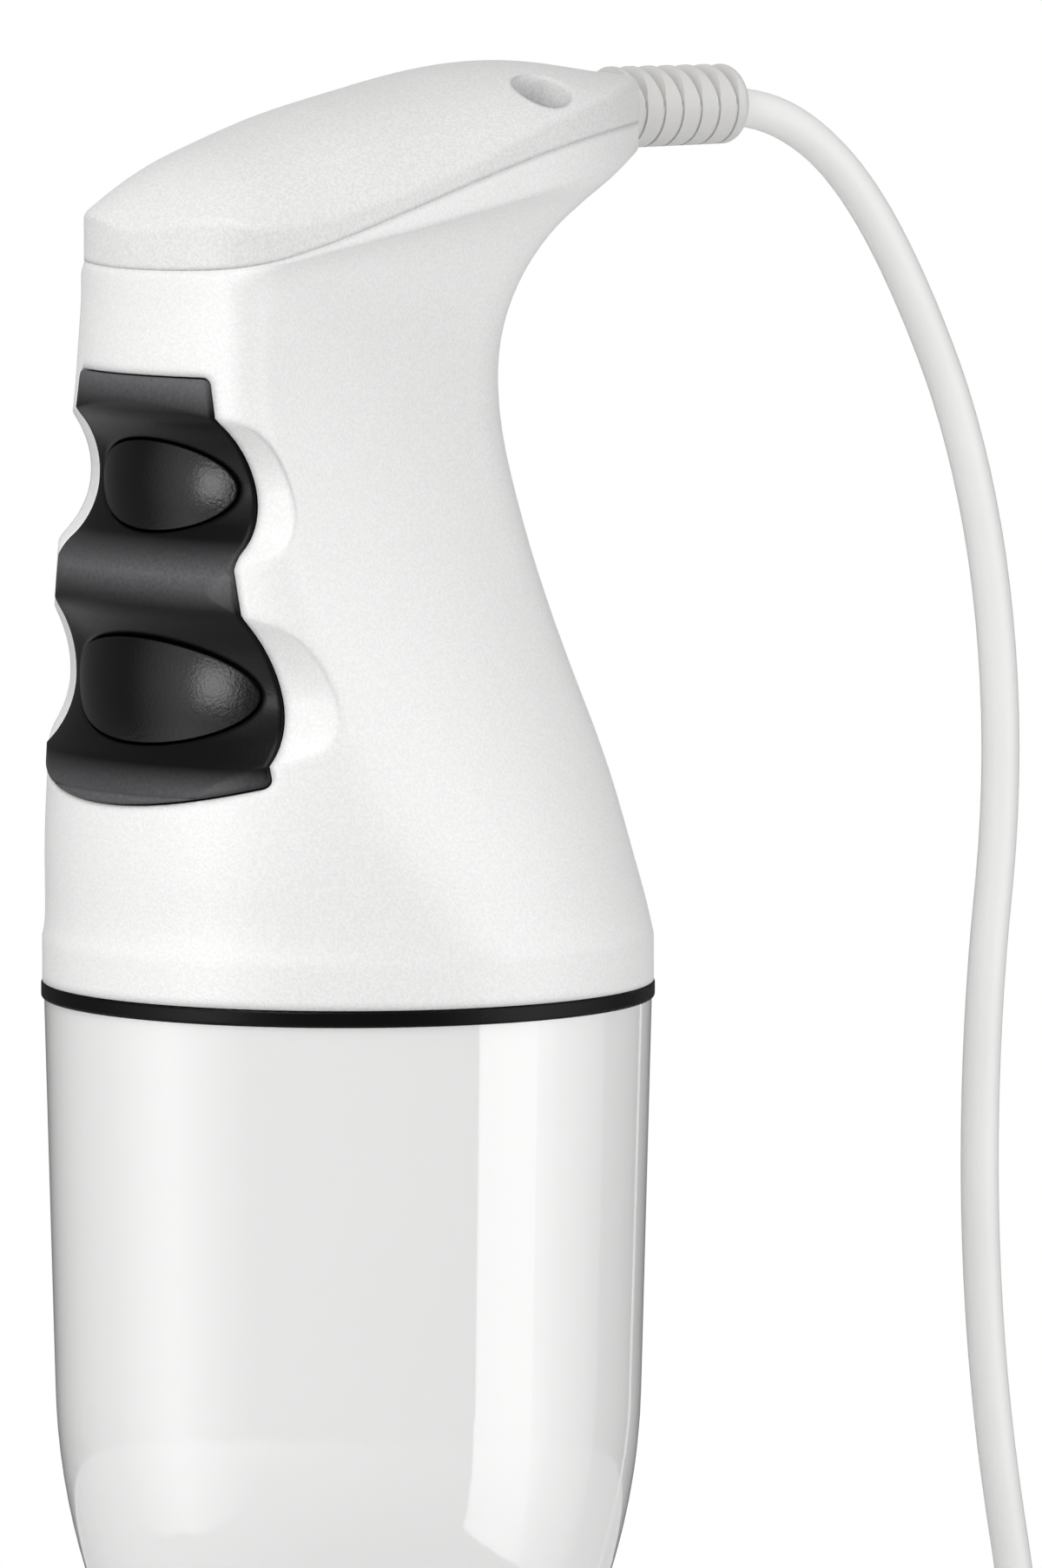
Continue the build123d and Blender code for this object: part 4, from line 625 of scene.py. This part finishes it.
class BLENDER_OT_motor(bpy.types.Operator):
    """Finish the motor, its brackets and screws"""

    bl_idname = "blender_dress.motor"
    bl_label = "Motor"

    def execute(self, context):
        bracket = textured_plastic(
            "bracket_moulding", (0.09, 0.09, 0.1), roughness=0.55, grain=1000.0, depth=0.0001, spread=0.1
        )
        dress(bracket, "upper_bracket", "lower_bracket", "shaft_coupling", "tube_lock_ring")
        dress(stacked_sheet("iron_sheets", (0.26, 0.26, 0.27)), "stator_core", "armature_core")
        dress(wound_copper("copper_winding", (0.60, 0.26, 0.11)), "field_coils", "armature_windings")
        bars = brushed_metal("copper_bars", (0.72, 0.36, 0.2), stretch=(1, 1, 6), roughness=0.3)
        dress(bars, "commutator")
        dress(rubber("brush_carbon", (0.02, 0.02, 0.021), roughness=0.5), "carbon_brushes")
        brass = brushed_metal("sintered_brass", (0.6, 0.44, 0.2), stretch=(1, 1, 1), roughness=0.4)
        dress(brass, "brush_holders", "upper_shaft_bush", "lower_shaft_bush")
        zinc = brushed_metal("zinc_screws", (0.48, 0.48, 0.49), stretch=(1, 1, 1), roughness=0.35)
        dress(zinc, "cap_screws", "clamp_screws", "motor_screws")
        return {"FINISHED"}


class BLENDER_OT_drive(bpy.types.Operator):
    """Finish the shafts, tube, guard and blade"""

    bl_idname = "blender_dress.drive"
    bl_label = "Shaft and blade"

    def execute(self, context):
        drawn = brushed_metal("drawn_tube", colour_of("steel"), stretch=(6, 6, 0.15), roughness=0.24)
        dress(drawn, "shaft_tube")
        turned = brushed_metal("turned_guard", colour_of("steel"), stretch=(0.15, 0.15, 6), roughness=0.24)
        dress(turned, "blade_guard")
        ground = brushed_metal("ground_steel", (0.55, 0.55, 0.56), stretch=(0.2, 0.2, 5), roughness=0.2)
        dress(ground, "motor_shaft", "drive_shaft", "drive_pin", "retaining_ring")
        dress(ground, "upper_bearing", "lower_bearing")
        edged = brushed_metal("blade_steel", (0.62, 0.62, 0.63), stretch=(0.3, 6, 1), roughness=0.18)
        dress(edged, "blade", "blade_hub")
        return {"FINISHED"}


def coil_points(cord):
    """Control points of the coil: spiral in below, climb half a turn, spiral out above."""
    middle_x = CORD_ROUTE[-1][0] - cord.outer
    middle_y = CORD_ROUTE[-1][1] + cord.thickness
    low = CORD_ROUTE[-1][2]
    high = low + cord.layer
    inner = cord.outer - cord.turns * cord.pitch
    halves = []
    for i in range(cord.turns):
        r = cord.outer - i * cord.pitch
        halves += [(r, -r, low, low), (-r, r - cord.pitch, low, low)]
    halves.append((inner, -inner, low, high))
    for i in range(cord.turns):
        r = inner + (i + 1) * cord.pitch
        start = -r + cord.pitch
        halves += [(start, r, high, high), (r, -r, high, high)]
    draw_in = math.cos(math.pi / cord.steps / 2)
    points = []
    for first, last, z0, z1 in halves:
        centre = (first + last) / 2
        radius = (first - last) / 2 / draw_in
        for k in range(cord.steps):
            share = (k + 0.5) / cord.steps
            a = math.pi * share
            x = centre + radius * math.cos(a)
            y = abs(radius) * math.sin(a) * (1 if first > 0 else -1)
            points.append((middle_x + x, middle_y + y, z0 + (z1 - z0) * share))
    end_x = middle_x - cord.outer
    points += [(end_x, middle_y - cord.tail * TAIL_BEND, high), (end_x, middle_y - cord.tail, high)]
    return points


class BLENDER_OT_cord(bpy.types.Operator):
    """Lay the cord along its route and coil, and finish the relief and the plug"""

    bl_idname = "blender_dress.cord"
    bl_label = "Cord and plug"

    def execute(self, context):
        cord = context.scene.blender_cord
        flex = self.lay(cord)
        sheath = rubber("cord_sheath", colour_of("sheath"), roughness=0.42)
        flex.data.materials.append(sheath)
        dress(sheath, "supply_lead")
        dress(rubber("wire_insulation", (0.05, 0.12, 0.4), roughness=0.4), "lead_wires")
        dress(rubber("relief_sleeve", colour_of("relief"), roughness=0.5), "strain_relief")
        moulding = gloss_plastic("plug_moulding", colour_of("plug"), roughness=0.3, coat=0.1)
        dress(moulding, "plug_body")
        plating = brushed_metal("plug_pin_plating", (0.66, 0.64, 0.58), stretch=(1, 6, 1), roughness=0.25)
        dress(plating, "plug_pins")
        nylon = textured_plastic(
            "tie_nylon", (0.72, 0.72, 0.7), roughness=0.45, grain=900.0, depth=0.0001, spread=0.03
        )
        dress(nylon, "cord_tie")
        ribs, teeth = self.rows(context.scene.blender_trim, moulding, nylon)
        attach(flex, "housing")
        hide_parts("cord_drop", "cord_coil")
        return {"FINISHED"}

    def lay(self, cord):
        """Smooth line along the route and the coil."""
        points = [*CORD_ROUTE, *coil_points(cord)]
        curve = bpy.data.curves.new("mains_cord", "CURVE")
        curve.dimensions = "3D"
        curve.bevel_depth = cord.thickness / 2
        curve.bevel_resolution = 5
        curve.resolution_u = 6
        curve.use_fill_caps = True
        spline = curve.splines.new("NURBS")
        spline.points.add(len(points) - 1)
        for point, place in zip(spline.points, points):
            point.co = (*place, 1.0)
        spline.order_u = 3
        spline.use_endpoint_u = True
        return placed("mains_cord", curve)

    def rows(self, trim, moulding, nylon):
        """Finger ribs on the plug and ratchet teeth on the tie."""
        tree = bar_row_tree()
        low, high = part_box("plug_body")
        ribs = grown(
            "plug_finger_ribs",
            tree,
            start=((low[0] + high[0]) / 2, low[1] + trim.rib_inset, high[2]),
            length=trim.rib_length,
            width=trim.rib_width,
            height=trim.rib_height,
            pitch=trim.rib_pitch,
            count=trim.ribs,
            material=moulding,
        )
        low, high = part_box("cord_tie")
        teeth = grown(
            "tie_teeth",
            tree,
            start=((low[0] + high[0]) / 2, low[1] + trim.tooth_inset, high[2]),
            length=trim.tooth_length,
            width=trim.tooth_width,
            height=trim.tooth_height,
            pitch=trim.tooth_pitch,
            count=trim.teeth,
            material=nylon,
        )
        for row, slot in ((ribs, "plug_plastic"), (teeth, "tie_plastic")):
            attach(row, "housing")
        return ribs, teeth


def face(thing, place, aim):
    """Puts a lamp or a camera in its place and turns it to its aim."""
    thing.location = place
    thing.rotation_euler = (Vector(aim) - Vector(place)).to_track_quat("-Z", "Y").to_euler()


def lamp(name, energy, place, aim, width, height):
    data = bpy.data.lights.new(name, "AREA")
    data.shape = "RECTANGLE"
    data.size = width
    data.size_y = height
    data.energy = energy
    light = placed(name, data)
    face(light, place, aim)
    return light


class BLENDER_OT_stage(bpy.types.Operator):
    """Set up the floor, the studio light and the camera"""

    bl_idname = "blender_dress.stage"
    bl_label = "Stage"

    def execute(self, context):
        scene = context.scene
        stage = scene.blender_stage
        self.lay_floor(stage)
        self.hang_sky(scene, stage)
        self.set_lamps(stage)
        data = bpy.data.cameras.new("view")
        data.lens = stage.lens
        data.sensor_width = SENSOR_WIDTH
        scene.camera = placed("view", data)
        face(scene.camera, CAMERA_PLACE, CAMERA_AIM)
        scene.view_settings.view_transform = "Standard"
        return {"FINISHED"}

    def lay_floor(self, stage):
        mesh = bpy.data.meshes.new("floor")
        shape = bmesh.new()
        bmesh.ops.create_circle(shape, cap_ends=True, radius=stage.floor, segments=96)
        shape.to_mesh(mesh)
        shape.free()
        f = Finish("floor_pale")
        grain = f.noise(40.0, 3.0)
        tone = f.mix(grain, (0.70, 0.70, 0.70), (0.74, 0.74, 0.74))
        mesh.materials.append(f.surface(Base_Color=tone, Roughness=0.75))
        placed("floor", mesh)

    def hang_sky(self, scene, stage):
        """White sky for the eye, faint light for everything else."""
        world = bpy.data.worlds.new("studio")
        world.use_nodes = True
        tree = world.node_tree
        tree.nodes.clear()
        flow = Flow(tree)
        path = tree.nodes.new("ShaderNodeLightPath")
        seen = Flow(tree, path.outputs["Is Camera Ray"])
        glossy = Flow(tree, path.outputs["Is Glossy Ray"])
        through = Flow(tree, path.outputs["Is Transmission Ray"])
        open_sky = flow.math("MAXIMUM", flow.math("MAXIMUM", seen, through), glossy * GLOSSY_SKY)
        level = open_sky * (1 - stage.sky) + stage.sky
        backdrop = flow.make("ShaderNodeBackground", None, {"Color": (1, 1, 1, 1), "Strength": level})
        flow.make("ShaderNodeOutputWorld", None, {"Surface": backdrop})
        scene.world = world

    def set_lamps(self, stage):
        """Boxes at the sides and overhead, two fills that leave no shine and a lamp that only shines."""
        side = lamp(
            "side_box", stage.strip, place=(0.224, 0.200, 0.27), aim=(0.0, 0.0, 0.27), width=0.36, height=0.50
        )
        self.feather(side.data, SIDE_FADE)
        lamp("top_box", stage.top, place=(0.20, -0.55, 1.50), aim=(0.0, 0.0, 0.26), width=0.8, height=0.8)
        left = lamp(
            "left_box", stage.left, place=(-0.10, -0.345, 0.28), aim=(0.0, 0.0, 0.28), width=0.45, height=0.52
        )
        self.feather(left.data, LEFT_FADE)
        front = lamp(
            "front_fill", stage.front, place=(0.41, -1.13, 0.55), aim=(0.0, 0.0, 0.26), width=0.8, height=0.9
        )
        back = lamp(
            "back_fill", stage.back, place=(-0.95, 0.74, 0.55), aim=(0.0, 0.0, 0.22), width=0.9, height=0.9
        )
        for fill in (front, back):
            fill.visible_glossy = False
        glow = lamp(
            "button_glow", stage.button, place=(0.0, -0.97, 0.27), aim=(0.0, 0.0, 0.29), width=0.30,
            height=0.25,
        )
        glow.visible_diffuse = False

    def feather(self, data, fade):
        """Narrows a lamp's spread and lets it fade across its width."""
        data.spread = BOX_SPREAD
        data.use_nodes = True
        tree = data.node_tree
        tree.nodes.clear()
        flow = Flow(tree)
        surface = flow.make("ShaderNodeNewGeometry", out="Parametric")
        across = flow.make("ShaderNodeSeparateXYZ", None, {0: surface}, out=0)
        level = flow.make("ShaderNodeValToRGB", {"stops": fade}, {"Fac": across})
        glow = flow.make("ShaderNodeEmission", None, {"Color": level, "Strength": BOX_GAIN})
        flow.make("ShaderNodeOutputLight", None, {"Surface": glow})


class BLENDER_PT_sidebar(bpy.types.Panel):
    """Pieces of the stick blender"""

    bl_label = "Stick Blender"
    bl_idname = "BLENDER_PT_sidebar"
    bl_space_type = "VIEW_3D"
    bl_region_type = "UI"
    bl_category = "Stick Blender"

    def draw(self, context):
        for step in STEPS:
            self.layout.operator(step.bl_idname)
        for group in GROUPS:
            box = self.layout.box()
            settings = getattr(context.scene, group)
            for name in settings.bl_rna.properties.keys():
                if name not in ("rna_type", "name"):
                    box.prop(settings, name)


GROUPS = {
    "blender_finishes": BlenderFinishes,
    "blender_cord": BlenderCord,
    "blender_trim": BlenderTrim,
    "blender_stage": BlenderStage,
}
STEPS = (
    BLENDER_OT_stage,
    BLENDER_OT_cord,
    BLENDER_OT_shells,
    BLENDER_OT_switches,
    BLENDER_OT_motor,
    BLENDER_OT_drive,
)
CLASSES = (*GROUPS.values(), *STEPS, BLENDER_PT_sidebar)


def register():
    for kind in CLASSES:
        bpy.utils.register_class(kind)
    for name, group in GROUPS.items():
        setattr(bpy.types.Scene, name, PointerProperty(type=group))


def unregister():
    for name in GROUPS:
        delattr(bpy.types.Scene, name)
    for kind in reversed(CLASSES):
        bpy.utils.unregister_class(kind)


def main():
    register()
    for step in STEPS:
        name = step.bl_idname.split(".")[1]
        getattr(bpy.ops.blender_dress, name)()


if __name__ == "__main__":
    main()
